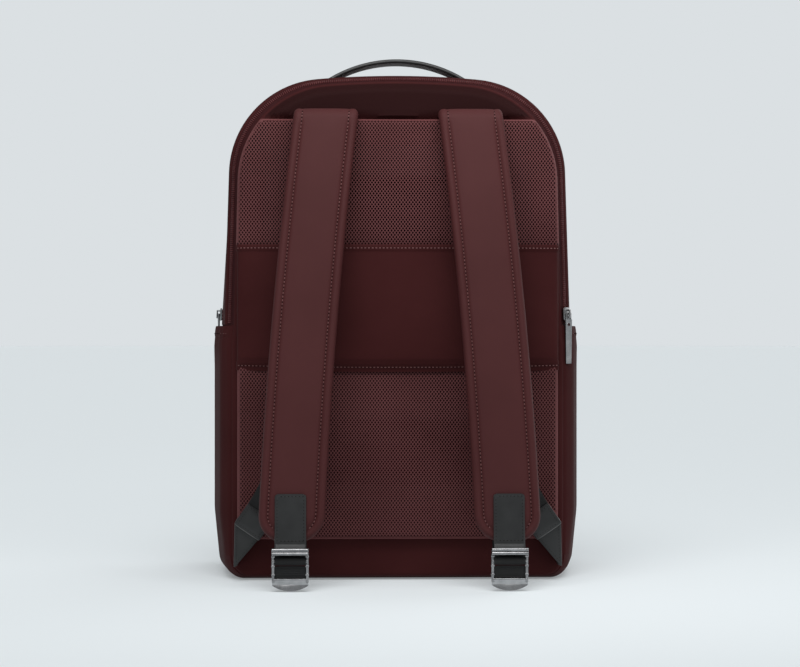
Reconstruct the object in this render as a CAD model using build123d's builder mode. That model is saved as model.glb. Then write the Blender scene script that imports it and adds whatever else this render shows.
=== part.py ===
from build123d import *
import os

# Travel backpack, in millimetres. +X is right as seen from the wearer's side, -Y is the
# wearer's side (back panel and straps), +Y is the front of the bag, and Z is up from the
# floor. The origin is on the floor under the middle of the bag's body.

os.makedirs("parts", exist_ok=True)

# ---- overall sizes ----
panel_width = 274.0  # back panel across its foot
panel_height = 412.5  # floor to the crown of the back panel
body_depth = 144.0  # back panel to front face
crown_rise = 12.5  # height of the arc across the top, corner to crown
shoulder_radius = 80.0
foot_radius = 18.0
pocket_top = 211.0  # height of the side pockets' mouths
panel_taper_mid = 2.5  # how much each side of the panel has come in at the pocket mouths
panel_taper_top = 7.0  # and at the top corners

# ---- walls and clearances ----
wall = 3.0  # padded fabric of the body
tape_wall = 1.4  # zipper tape
sheet = 1.6  # single fabric layers and webbing
pocket_wall = 2.0
pocket_front_margin = 12.0  # front of the side pockets to the front face
fit_gap = 0.1  # between pieces of one body that lie on each other
layer_gap = 0.2  # between the body's wall and what is slipped in behind it
move_gap = 0.5  # between pieces that move past each other

# ---- zippers ----
band_depth = 12.0  # slanted band between the back panel and the side
laptop_tape_width = 7.0  # measured along Y on the slanted band
laptop_coil_width = 3.8
front_slope_depth = 22.0  # the sides turn in towards the front face over this depth
main_strip = 12.0  # half depth of the flat strip that carries the main zipper
main_tape_half = 6.0
coil_half = 2.6
coil_split = 0.2  # half the gap between the two coils
coil_rise = 0.9
zip_end_gap = 1.0  # zippers end this far above the side pockets
slider_start = 9.0  # closed sliders stand this far above the zipper's end

# ---- back panel ----
pad_thickness = 9.0
pad_cover = 1.5
pad_inset = 6.0  # panel edge to pad edge
yoke_seam_z = 382.6  # top of the upper pad
pad_split_z = 176.0  # between the upper and lower pads
pad_split_gap = 2.0
lower_pad_z = 34.0
back_foam_thickness = 3.0
back_board_thickness = 2.0
back_board_inset = 8.0
sleeve_low_z = 177.5
sleeve_top_z = 278.0
sleeve_gap = 5.4  # room behind the sleeve for papers
sleeve_inset = 1.5  # panel edge to sleeve edge, at the pocket mouths

# ---- inside ----
divider_y = -45.0
divider_thickness = 5.0
base_board_thickness = 2.5
base_board_margin = 24.0
tray_height = 20.0  # the bottom panel's turned-up edge
fold_low_z = 200.0  # the front creases between these heights when it opens
fold_high_z = 270.0

# ---- front pocket ----
front_zip_z = 182.0
front_zip_half_length = 108.0
front_zip_half_height = 5.0
front_pocket_depth = 9.0
front_pocket_drop = 140.0
front_pocket_rise = 8.0

# ---- straps ----
strap_width = 53.0
strap_thickness = 10.0
strap_skin = 1.5
strap_lining_thickness = 1.2
strap_top_x = 58.0
strap_mid_x = 76.5
strap_foot_x = 87.0
strap_top_stand = 10.0  # middle of the strap in front of the pad's face
strap_mid_stand = 36.0
strap_foot_stand = 58.0
strap_foot_z = 38.0
strap_end_radius = 22.0
strap_core_top = 10.0  # the foam stops this far below the fold
fold_over_seam = 3.4  # the fold's middle above the yoke seam
anchor_height = 7.0
tab_width = 25.0
tab_thickness = 2.0
tab_top_z = 77.0

# ---- buckles ----
buckle_width = 30.4
buckle_height = 34.0
buckle_top_z = 34.8
buckle_plate = 2.6
rail_width = 2.2
top_bar_radius = 2.65
second_bar_radius = 2.0
second_bar_drop = 12.8
lip_height = 8.8
bar_fit = 0.1

# ---- lower webbing and corner wings ----
webbing_width = 25.0
wing_thickness = 2.0
patch_length = 20.0
wing_stand = 1.0  # wing in front of the pad's face

# ---- handle ----
handle_half_span = 66.0
handle_width = 22.0
handle_thickness = 3.5
handle_rise = 15.5  # top of the handle over the top of the bag
handle_y = -34.0
handle_crease = 7.0  # the grip ends this far below the handle's top

# ---- sliders and pulls ----
slider_width = 9.0
slider_length = 11.0
slider_plate = 1.0
slider_wall = 1.1
bail_width = 2.4
bail_length = 7.0
bail_roof = 1.0
bar_lift = 0.5  # pull's bar over the bottom of its hole
pull_bar_radius = 0.8
pull_width = 6.6
pull_thickness = 1.4
pull_lengths = {"laptop": 37.0, "main": 26.0, "front": 30.0}
pull_arm = 1.2

# ---- derived sizes ----
rear_y = -body_depth / 2
front_y = body_depth / 2
seam_half_low = panel_width / 2
seam_half_mid = seam_half_low - panel_taper_mid
seam_half_high = seam_half_low - panel_taper_top
zip_end_z = pocket_top + zip_end_gap
pad_face_y = rear_y - pad_thickness
reach = 2 * (panel_width + panel_height + body_depth)  # larger than the whole bag
recess_top_z = pocket_top - 16.0
laptop_tape_front_y = rear_y + wall + laptop_tape_width

# Every section of the bag: depth, how far its sides stand out past the back panel low down,
# at the pocket mouths and at the top, how far its foot and crown are above the panel's, and
# the room that a side pocket takes low down and at its mouth.
seam_lift = 4.0
bag_sections = [
    (rear_y, 0.0, 0.0, 0.0, seam_lift, 0.0, 0.0, 0.0),
    (rear_y + band_depth, 11.2, 11.5, 8.5, 0.0, 7.5, 7.2, 1.5),
    (-main_strip, 19.2, 22.0, 8.0, 0.0, 8.5, 9.7, 6.5),
    (main_strip, 19.2, 22.0, 8.0, 0.0, 8.5, 9.7, 6.5),
    (front_y - front_slope_depth, 17.0, 20.0, 6.5, 0.0, 7.0, 9.5, 6.5),
    (front_y, 7.0, 7.0, 1.0, 5.0, -2.5, 0.0, 0.0),
]


def section_outline(row, inset, with_pockets):
    """One section of the bag: straight sides, rounded foot, filleted shoulders, arched top."""
    y, flare_low, flare_mid, flare_high, lift, rise, room_low, room_mid = row
    if with_pockets:
        room_low = 0.0
        room_mid = 0.0
    low = seam_half_low + flare_low - room_low - inset
    mid = seam_half_mid + flare_mid - room_mid - inset
    high = seam_half_high + flare_high - inset
    top = panel_height + rise - inset
    corner = top - crown_rise
    with BuildSketch(Plane.XZ.offset(-y)) as outline:
        with BuildLine():
            Polyline(
                (-high, corner),
                (-mid, pocket_top),
                (-low, recess_top_z),
                (-low, lift + inset),
                (low, lift + inset),
                (low, recess_top_z),
                (mid, pocket_top),
                (high, corner),
            )
            ThreePointArc((high, corner), (0, top), (-high, corner))
        make_face()
        fillet(outline.vertices().group_by(Axis.Y)[0], foot_radius - inset)
        fillet(outline.vertices().group_by(Axis.Y)[-1], shoulder_radius - inset)
    return outline.sketch


def envelope(inset, with_pockets=False):
    """The bag's body as one solid, its surface moved inwards by inset."""
    rows = list(bag_sections)
    rows[0] = (rear_y + inset,) + rows[0][1:]
    rows[-1] = (front_y - inset,) + rows[-1][1:]
    with BuildPart() as shape:
        loft(sections=[section_outline(row, inset, with_pockets) for row in rows], ruled=True)
    return shape.part


def side_half(row, z):
    """Half width of the body at height z, above the pockets, on one of its sections."""
    mid = seam_half_mid + row[2] - row[7]
    high = seam_half_high + row[3]
    corner = panel_height + row[5] - crown_rise
    return mid + (high - mid) * (z - pocket_top) / (corner - pocket_top)


body = envelope(0.0)
body_inside = envelope(wall)
tape_inside = envelope(tape_wall)
coil_outside = envelope(-coil_rise)
contents = envelope(wall + layer_gap)
outer = envelope(0.0, with_pockets=True)
pocket_inside = envelope(pocket_wall, with_pockets=True)


def slab(y_low, y_high, z_low, z_high):
    """Cut the part being built down to a range of depth and height."""
    with Locations((0, (y_low + y_high) / 2, (z_low + z_high) / 2)):
        Box(reach, y_high - y_low, z_high - z_low, mode=Mode.INTERSECT)


def notch(y_low, y_high, z_low, z_high):
    """Remove a range of depth and height from the part being built."""
    with Locations((0, (y_low + y_high) / 2, (z_low + z_high) / 2)):
        Box(reach, y_high - y_low, z_high - z_low, mode=Mode.SUBTRACT)


# ======== back panel ========
with BuildPart() as back_cover:
    add(body)
    slab(rear_y, rear_y + wall, 0, reach)
back_cover.part.label = "back_cover"
export_step(back_cover.part, "parts/back_cover.step")

foam_y = rear_y + wall
with BuildPart() as back_foam:
    add(contents)
    slab(foam_y, foam_y + back_foam_thickness, 0, reach)
back_foam.part.label = "back_foam"
export_step(back_foam.part, "parts/back_foam.step")

board_y = foam_y + back_foam_thickness + fit_gap
with BuildPart() as back_board:
    with BuildSketch(Plane.XZ.offset(-board_y)):
        add(section_outline((0.0,) + bag_sections[0][1:], back_board_inset, False))
    extrude(amount=-back_board_thickness)
back_board.part.label = "back_board"
export_step(back_board.part, "parts/back_board.step")


def pad_outline(inset, z_low, z_high):
    """The back panel's outline, moved inwards and cut to a height range."""
    with BuildSketch() as outline:
        add(section_outline((0.0,) + bag_sections[0][1:], pad_inset + inset, False))
        with Locations((0, (z_low + z_high) / 2)):
            Rectangle(reach, z_high - z_low - 2 * inset, mode=Mode.INTERSECT)
    return outline.sketch


pads = {
    "upper": (pad_split_z + pad_split_gap / 2, yoke_seam_z),
    "lower": (lower_pad_z, pad_split_z - pad_split_gap / 2),
}
for pad_name, (pad_low, pad_high) in pads.items():
    with BuildPart() as pad_foam:
        with BuildSketch(Plane.XZ.offset(-rear_y)):
            add(pad_outline(pad_cover, pad_low, pad_high))
        extrude(amount=pad_thickness - pad_cover)
    pad_foam.part.label = f"{pad_name}_pad_foam"
    export_step(pad_foam.part, f"parts/{pad_name}_pad_foam.step")

    with BuildPart() as pad_mesh:
        with BuildSketch(Plane.XZ.offset(-rear_y)):
            add(pad_outline(0.0, pad_low, pad_high))
        extrude(amount=pad_thickness)
        add(pad_foam.part, mode=Mode.SUBTRACT)
    pad_mesh.part.label = f"{pad_name}_pad_mesh"
    export_step(pad_mesh.part, f"parts/{pad_name}_pad_mesh.step")

# The sleeve is sewn to the panel along both sides and its foot, and its mouth is open upwards.
sleeve_half = seam_half_mid - sleeve_inset
sleeve_inner_half = sleeve_half - sheet
sleeve_inner_y = pad_face_y - sleeve_gap
with BuildPart() as pocket_sleeve:
    with BuildSketch(Plane.XZ.offset(-rear_y)):
        with Locations((0, (sleeve_low_z + sleeve_top_z) / 2)):
            Rectangle(2 * sleeve_half, sleeve_top_z - sleeve_low_z)
    extrude(amount=rear_y - sleeve_inner_y + sheet)
    with BuildSketch(Plane.XZ.offset(-rear_y)):
        with Locations((0, (sleeve_low_z + reach) / 2)):
            Rectangle(2 * sleeve_inner_half, reach - sleeve_low_z)
    extrude(amount=pad_thickness + fit_gap, mode=Mode.SUBTRACT)
    with BuildSketch(Plane.XZ.offset(-pad_face_y)):
        with Locations((0, (sleeve_low_z + sheet + reach) / 2)):
            Rectangle(2 * sleeve_inner_half, reach - sleeve_low_z - sheet)
    extrude(amount=sleeve_gap, mode=Mode.SUBTRACT)
pocket_sleeve.part.label = "pocket_sleeve"
export_step(pocket_sleeve.part, "parts/pocket_sleeve.step")

# ======== body shell ========
with BuildPart() as bottom_panel:
    add(outer)
    add(body_inside, mode=Mode.SUBTRACT)
    slab(rear_y + wall, front_y, 0, tray_height)
bottom_panel.part.label = "bottom_panel"
export_step(bottom_panel.part, "parts/bottom_panel.step")

# Above the pockets the gusset runs between the two zippers; below them it carries on from
# the back panel to the front.
with BuildPart() as middle_gusset:
    add(body)
    add(body_inside, mode=Mode.SUBTRACT)
    slab(rear_y + wall, main_tape_half, tray_height, reach)
    notch(rear_y, laptop_tape_front_y, zip_end_z, reach)
    notch(-main_tape_half, reach, zip_end_z, reach)
middle_gusset.part.label = "middle_gusset"
export_step(middle_gusset.part, "parts/middle_gusset.step")

with BuildPart() as front_body:
    add(body)
    add(body_inside, mode=Mode.SUBTRACT)
    slab(main_tape_half, front_y, tray_height, fold_low_z)
    with Locations((0, front_y, front_zip_z)):
        Box(2 * front_zip_half_length, 4 * wall, 2 * front_zip_half_height, mode=Mode.SUBTRACT)
front_body.part.label = "front_body"
export_step(front_body.part, "parts/front_body.step")

with BuildPart() as front_crease:
    add(body)
    add(body_inside, mode=Mode.SUBTRACT)
    slab(main_tape_half, front_y, fold_low_z, fold_high_z)
front_crease.part.label = "front_crease"
export_step(front_crease.part, "parts/front_crease.step")

with BuildPart() as front_flap:
    add(body)
    add(body_inside, mode=Mode.SUBTRACT)
    slab(main_tape_half, front_y, fold_high_z, reach)
front_flap.part.label = "front_flap"
export_step(front_flap.part, "parts/front_flap.step")

with BuildPart() as divider:
    add(contents)
    slab(divider_y, divider_y + divider_thickness, tray_height, reach)
divider.part.label = "divider"
export_step(divider.part, "parts/divider.step")

base_board_front_y = front_y - base_board_margin
base_board_rear_y = divider_y + divider_thickness + fit_gap
with BuildPart() as base_board:
    with BuildSketch(Plane.XY.offset(wall + layer_gap)) as board_outline:
        with Locations((0, (base_board_front_y + base_board_rear_y) / 2)):
            Rectangle(
                2 * (seam_half_low - base_board_margin),
                base_board_front_y - base_board_rear_y,
            )
        fillet(board_outline.vertices(), base_board_margin / 2)
    extrude(amount=base_board_thickness)
base_board.part.label = "base_board"
export_step(base_board.part, "parts/base_board.step")

# ======== side pockets ========
pocket_rear_y = rear_y + wall
pocket_front_y = front_y - pocket_front_margin
with BuildPart() as pocket_space:
    add(pocket_inside)
    slab(pocket_rear_y + pocket_wall, pocket_front_y - pocket_wall, 0, reach)
pocket_room = pocket_space.part
for side, sign in (("left", -1), ("right", 1)):
    with BuildPart() as side_pocket:
        add(outer)
        slab(pocket_rear_y, pocket_front_y, tray_height, pocket_top)
        add(body, mode=Mode.SUBTRACT)
        with Locations((-sign * reach / 2, 0, 0)):
            Box(reach, reach, reach, mode=Mode.SUBTRACT)
        add(pocket_room, mode=Mode.SUBTRACT)
    side_pocket.part.label = f"side_pocket_{side}"
    export_step(side_pocket.part, f"parts/side_pocket_{side}.step")

# ======== zippers ========
laptop_coil_y = foam_y + laptop_tape_width / 2
with BuildPart() as laptop_zip_tape:
    add(body)
    add(tape_inside, mode=Mode.SUBTRACT)
    slab(foam_y, laptop_tape_front_y, zip_end_z, reach)
laptop_zip_tape.part.label = "laptop_zip_tape"
export_step(laptop_zip_tape.part, "parts/laptop_zip_tape.step")

coil_zones = {
    "laptop_zip_coil": (laptop_coil_y - laptop_coil_width / 2, laptop_coil_y + laptop_coil_width / 2),
    "main_zip_coil_rear": (-coil_half, -coil_split),
    "main_zip_coil_front": (coil_split, coil_half),
}
for coil_name, (coil_rear_y, coil_front_y) in coil_zones.items():
    with BuildPart() as zip_coil:
        add(coil_outside)
        slab(coil_rear_y, coil_front_y, zip_end_z + zip_end_gap, reach)
        add(body, mode=Mode.SUBTRACT)
    zip_coil.part.label = coil_name
    export_step(zip_coil.part, f"parts/{coil_name}.step")

tape_zones = {
    "main_zip_tape_rear": (-main_tape_half, -coil_split),
    "main_zip_tape_front": (coil_split, main_tape_half),
}
for tape_name, (tape_rear_y, tape_front_y) in tape_zones.items():
    with BuildPart() as zip_tape:
        add(body)
        add(tape_inside, mode=Mode.SUBTRACT)
        slab(tape_rear_y, tape_front_y, zip_end_z, reach)
    zip_tape.part.label = tape_name
    export_step(zip_tape.part, f"parts/{tape_name}.step")

with BuildPart() as front_zip_tape:
    with BuildSketch(Plane.XZ.offset(-front_y)):
        with Locations((0, front_zip_z)):
            Rectangle(2 * front_zip_half_length, 2 * front_zip_half_height)
    extrude(amount=tape_wall)
front_zip_tape.part.label = "front_zip_tape"
export_step(front_zip_tape.part, "parts/front_zip_tape.step")

with BuildPart() as front_zip_coil:
    with BuildSketch(Plane.XZ.offset(-front_y)):
        with Locations((0, front_zip_z)):
            Rectangle(2 * (front_zip_half_length - zip_end_gap), 2 * coil_half)
    extrude(amount=-coil_rise)
front_zip_coil.part.label = "front_zip_coil"
export_step(front_zip_coil.part, "parts/front_zip_coil.step")

pocket_bag_half = front_zip_half_length + front_pocket_rise
pocket_bag_top = front_zip_z + front_pocket_rise
pocket_bag_low = front_zip_z - front_pocket_drop
with BuildPart() as front_pocket_bag:
    with BuildSketch(Plane.XZ.offset(wall - front_y)):
        with Locations((0, (pocket_bag_low + pocket_bag_top) / 2)):
            Rectangle(2 * pocket_bag_half, pocket_bag_top - pocket_bag_low)
    extrude(amount=front_pocket_depth + sheet)
    with BuildSketch(Plane.XZ.offset(wall - front_y)):
        with Locations((0, (pocket_bag_low + pocket_bag_top) / 2)):
            Rectangle(2 * (pocket_bag_half - sheet), pocket_bag_top - pocket_bag_low - 2 * sheet)
    extrude(amount=front_pocket_depth, mode=Mode.SUBTRACT)
front_pocket_bag.part.label = "front_pocket_bag"
export_step(front_pocket_bag.part, "parts/front_pocket_bag.step")

# ======== handle ========
handle_top_z = panel_height + bag_sections[2][5] + handle_rise
handle_end_z = panel_height
handle_sides = Plane.XZ.offset(-handle_y)
handle_zones = {
    "handle_ends": (0.0, handle_top_z - handle_crease),
    "handle_grip": (handle_top_z - handle_crease, reach),
}
for handle_name, (handle_low_z, handle_high_z) in handle_zones.items():
    with BuildPart() as handle:
        with BuildSketch(handle_sides) as handle_arch:
            with BuildLine():
                outside = ThreePointArc(
                    (-handle_half_span, handle_end_z), (0, handle_top_z), (handle_half_span, handle_end_z)
                )
                inside = ThreePointArc(
                    (handle_half_span - handle_thickness, handle_end_z),
                    (0, handle_top_z - handle_thickness),
                    (handle_thickness - handle_half_span, handle_end_z),
                )
                Line(outside @ 1, inside @ 0)
                Line(inside @ 1, outside @ 0)
            make_face()
        extrude(amount=handle_width / 2, both=True)
        slab(-reach, reach, handle_low_z, handle_high_z)
        add(body, mode=Mode.SUBTRACT)
    handle.part.label = handle_name
    export_step(handle.part, f"parts/{handle_name}.step")

# ======== straps ========
fold_z = yoke_seam_z + fold_over_seam
fold_y = pad_face_y - strap_top_stand
mid_y = pad_face_y - strap_mid_stand
foot_y = pad_face_y - strap_foot_stand
mid_z = (fold_z + strap_foot_z) / 2
strap_half = strap_thickness / 2
bar_y = foot_y - strap_half - tab_thickness
bar_z = buckle_top_z - top_bar_radius
second_bar_z = buckle_top_z - second_bar_drop


def strap_outline(sign, inset, foot_z):
    """A strap seen from the wearer's side: curved edges and a rounded foot."""
    half = strap_width / 2 - inset
    with BuildSketch() as outline:
        with BuildLine():
            inner_edge = ThreePointArc(
                (sign * (strap_top_x - half), fold_z + strap_thickness),
                (sign * (strap_mid_x - half), mid_z),
                (sign * (strap_foot_x - half), foot_z),
            )
            outer_edge = ThreePointArc(
                (sign * (strap_foot_x + half), foot_z),
                (sign * (strap_mid_x + half), mid_z),
                (sign * (strap_top_x + half), fold_z + strap_thickness),
            )
            Line(inner_edge @ 1, outer_edge @ 0)
            Line(outer_edge @ 1, inner_edge @ 0)
        make_face()
        fillet(outline.vertices().group_by(Axis.Y)[0], strap_end_radius - inset)
    return outline.sketch


def strap_side(front_shift, rear_shift, top_z):
    """A strap seen from its side, between two lines shifted from its middle along Y."""
    with BuildSketch() as profile:
        with BuildLine():
            front = ThreePointArc(
                (fold_y - front_shift, fold_z), (mid_y - front_shift, mid_z), (foot_y - front_shift, 0)
            )
            rear = ThreePointArc(
                (foot_y + rear_shift, 0), (mid_y + rear_shift, mid_z), (fold_y + rear_shift, fold_z)
            )
            Line(front @ 1, rear @ 0)
            Line(rear @ 1, front @ 0)
        make_face()
        with Locations((fold_y, top_z / 2)):
            Rectangle(reach, top_z, mode=Mode.INTERSECT)
    return profile.sketch


for side, sign in (("left", -1), ("right", 1)):
    core_top_z = fold_z - strap_core_top
    core_foot_z = strap_foot_z + strap_skin
    lining_face = strap_half - strap_lining_thickness
    with BuildPart() as strap_foam:
        with BuildSketch(Plane.XZ):
            add(strap_outline(sign, strap_skin, core_foot_z))
        extrude(amount=reach, both=True)
        with BuildSketch(Plane.YZ):
            add(strap_side(strap_half - strap_skin, lining_face, core_top_z))
        extrude(amount=reach, both=True, mode=Mode.INTERSECT)
    strap_foam.part.label = f"strap_foam_{side}"
    export_step(strap_foam.part, f"parts/strap_foam_{side}.step")

    with BuildPart() as strap_lining:
        with BuildSketch(Plane.XZ):
            add(strap_outline(sign, strap_skin, core_foot_z))
        extrude(amount=reach, both=True)
        with BuildSketch(Plane.YZ):
            add(strap_side(-lining_face, strap_half, core_top_z))
        extrude(amount=reach, both=True, mode=Mode.INTERSECT)
    strap_lining.part.label = f"strap_lining_{side}"
    export_step(strap_lining.part, f"parts/strap_lining_{side}.step")

    with BuildPart() as strap_face:
        with BuildSketch(Plane.YZ):
            add(strap_side(strap_half, strap_half, fold_z))
            with Locations((fold_y, fold_z)):
                Circle(strap_half)
        extrude(amount=reach, both=True)
        with BuildSketch(Plane.XZ):
            add(strap_outline(sign, 0.0, strap_foot_z))
        extrude(amount=reach, both=True, mode=Mode.INTERSECT)
        add(strap_foam.part, mode=Mode.SUBTRACT)
        add(strap_lining.part, mode=Mode.SUBTRACT)
    strap_face.part.label = f"strap_face_{side}"
    export_step(strap_face.part, f"parts/strap_face_{side}.step")

    with BuildPart() as strap_anchor:
        with BuildSketch(Plane.XZ.offset(-rear_y)):
            with Locations((sign * strap_top_x, yoke_seam_z + move_gap + anchor_height / 2)):
                Rectangle(strap_width, anchor_height)
        extrude(amount=rear_y - fold_y - strap_half - move_gap)
    strap_anchor.part.label = f"strap_anchor_{side}"
    export_step(strap_anchor.part, f"parts/strap_anchor_{side}.step")

    # The tab lies on the strap's face, and its loop goes round the buckle's top bar.
    with BuildPart() as strap_tab:
        with BuildSketch(Plane.YZ.offset(sign * strap_foot_x)):
            add(strap_side(strap_half + fit_gap + tab_thickness, -strap_half - fit_gap, tab_top_z))
            with Locations((bar_y, 0)):
                Rectangle(reach, 2 * bar_z, mode=Mode.SUBTRACT)
            with Locations((bar_y, bar_z)):
                Circle(top_bar_radius + bar_fit + tab_thickness)
                Circle(top_bar_radius + bar_fit, mode=Mode.SUBTRACT)
        extrude(amount=tab_width / 2, both=True)
    strap_tab.part.label = f"strap_tab_{side}"
    export_step(strap_tab.part, f"parts/strap_tab_{side}.step")

    with BuildPart() as buckle:
        for rail_sign in (-1, 1):
            rail_x = sign * strap_foot_x + rail_sign * (buckle_width - rail_width) / 2
            with Locations((rail_x, bar_y, buckle_top_z - buckle_height / 2 + lip_height / 4)):
                Box(rail_width, buckle_plate, buckle_height - lip_height / 2)
        for radius, height in ((top_bar_radius, bar_z), (second_bar_radius, second_bar_z)):
            with BuildSketch(Plane.YZ.offset(sign * strap_foot_x)):
                with Locations((bar_y, height)):
                    Circle(radius)
            extrude(amount=buckle_width / 2 - rail_width / 2, both=True)
        lip_top_z = buckle_top_z - buckle_height + lip_height
        with BuildSketch(Plane.XZ.offset(buckle_plate / 2 - bar_y)):
            with BuildLine():
                lip_corner = (sign * strap_foot_x - buckle_width / 2, lip_top_z - lip_height / 2)
                lip_end = (sign * strap_foot_x + buckle_width / 2, lip_top_z - lip_height / 2)
                lip_arc = ThreePointArc(lip_corner, (sign * strap_foot_x, lip_top_z - lip_height), lip_end)
                Polyline(lip_end, (lip_end[0], lip_top_z), (lip_corner[0], lip_top_z), lip_corner)
            make_face()
        extrude(amount=-buckle_plate)
    buckle.part.label = f"buckle_{side}"
    export_step(buckle.part, f"parts/buckle_{side}.step")

    with BuildPart() as webbing_turn:
        with BuildSketch(Plane.YZ.offset(sign * strap_foot_x)):
            with Locations((bar_y, second_bar_z)):
                Circle(second_bar_radius + bar_fit + sheet)
                Circle(second_bar_radius + bar_fit, mode=Mode.SUBTRACT)
        extrude(amount=tab_width / 2, both=True)
    webbing_turn.part.label = f"webbing_turn_{side}"
    export_step(webbing_turn.part, f"parts/webbing_turn_{side}.step")

# ======== corner wings and lower webbing ========
# Corners are given inwards and up from the foot of the back panel's edge.
wing_corners = ((1.5, 11.0), (2.4, 50.0), (9.0, 57.5), (27.5, 43.5), (22.0, 35.0))
patch_middle = (18.1, 49.7)
patch_slope = 55.6  # of the webbing at the patch, in degrees from level
wing_seam_inset = 3.6  # the wing's root is a strip in the corner seam
wing_seam_middle_z = 31.0
wing_seam_width = 2.4
wing_seam_length = 36.0
wing_face_y = pad_face_y - wing_stand
webbing_y = wing_face_y - wing_thickness - fit_gap - sheet / 2
patch_y = webbing_y - sheet / 2 - fit_gap
# Stations of the webbing's middle: share of the way across to the strap, distance out from
# the patch, height over the patch's middle, and lean of its width from level.
webbing_loop = (
    (-0.14, 0.0, -6.6, 34.4),
    (0.22, 0.0, 10.3, 34.4),
    (0.44, 3.5, 22.0, 31.0),
    (0.66, 11.0, 37.0, 22.0),
    (0.86, 22.0, 45.0, 10.0),
    (0.98, 33.0, 38.0, 2.0),
    (1.0, 39.5, 14.0, 0.0),
    (1.0, 43.0, -12.0, 0.0),
    (1.0, 56.0, -26.5, 0.0),
)
for side, sign in (("left", -1), ("right", 1)):
    with BuildPart() as wing:
        with BuildSketch(Plane.XZ.offset(-wing_face_y)):
            with BuildLine():
                Polyline(
                    [(sign * (seam_half_low - inwards), up) for inwards, up in wing_corners],
                    close=True,
                )
            make_face()
        extrude(amount=wing_thickness)
        with BuildSketch(Plane.XZ.offset(-rear_y)):
            with Locations((sign * (seam_half_low - wing_seam_inset), wing_seam_middle_z)):
                Rectangle(wing_seam_width, wing_seam_length)
        extrude(amount=rear_y - wing_face_y + wing_thickness)
    wing.part.label = f"wing_{side}"
    export_step(wing.part, f"parts/wing_{side}.step")

    patch_x = sign * (seam_half_low - patch_middle[0])
    with BuildPart() as webbing_patch:
        with BuildSketch(Plane.XZ.offset(-patch_y)):
            with Locations(Location((patch_x, patch_middle[1]), -sign * patch_slope)):
                Rectangle(patch_length, webbing_width)
        extrude(amount=tab_thickness)
    webbing_patch.part.label = f"webbing_patch_{side}"
    export_step(webbing_patch.part, f"parts/webbing_patch_{side}.step")

    # The webbing leaves the patch, rises behind the strap and turns down to the buckle.
    route = []
    for share, out, up, lean in webbing_loop:
        x = patch_x + share * (sign * strap_foot_x - patch_x)
        route.append((Vector(x, webbing_y - out, patch_middle[1] + up), lean))
    with BuildPart() as lower_webbing:
        stations = []
        for index, (middle, lean) in enumerate(route):
            before = route[max(index - 1, 0)][0]
            after = route[min(index + 1, len(route) - 1)][0]
            across = Vector(1, 0, 0).rotate(Axis.Y, -sign * lean)
            with BuildSketch(Plane(middle, x_dir=across, z_dir=after - before)) as station:
                Rectangle(webbing_width, sheet)
            stations.append(station.sketch)
        loft(sections=stations, ruled=True)
    lower_webbing.part.label = f"lower_webbing_{side}"
    export_step(lower_webbing.part, f"parts/lower_webbing_{side}.step")

# ======== sliders and pulls ========
# Each slider is built on a plane whose Z stands out of the tape and whose Y runs up the zipper.
slider_z = zip_end_z + slider_start
seam_row = bag_sections[0]
edge_row = bag_sections[1]
band_share = (laptop_coil_y - rear_y) / band_depth


def band_point(z):
    """A point on the middle of the slanted zipper band, on the right of the bag."""
    half = side_half(seam_row, z) * (1 - band_share) + side_half(edge_row, z) * band_share
    return Vector(half, laptop_coil_y, z)


def main_point(z):
    """A point on the middle of the main zipper, on the left of the bag."""
    return Vector(-side_half(bag_sections[2], z), 0, z)


slider_reach = 100.0  # a height step along the straight sides, to find their lean
band_across = Vector(side_half(edge_row, slider_z) - side_half(seam_row, slider_z), band_depth, 0)
band_along = band_point(slider_z + slider_reach) - band_point(slider_z)
main_along = main_point(slider_z + slider_reach) - main_point(slider_z)
front_slider_x = -front_zip_half_length + slider_start
slider_frames = {
    "laptop": (
        Plane(band_point(slider_z), x_dir=band_across, z_dir=band_across.cross(band_along)),
        Vector(0, 0, 1),
    ),
    "main": (
        Plane(main_point(slider_z), x_dir=(0, -1, 0), z_dir=Vector(0, -1, 0).cross(main_along)),
        Vector(0, 0, 1),
    ),
    "front": (
        Plane((front_slider_x, front_y, front_zip_z), x_dir=(0, 0, -1), z_dir=(0, 1, 0)),
        Vector(-1, 0, 0),
    ),
}
slider_under = coil_rise + move_gap
plate_top = slider_under + slider_plate
bar_height = plate_top + bar_lift + bar_fit + pull_bar_radius
bail_height = bar_height + pull_bar_radius + bar_fit + bail_roof
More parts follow.
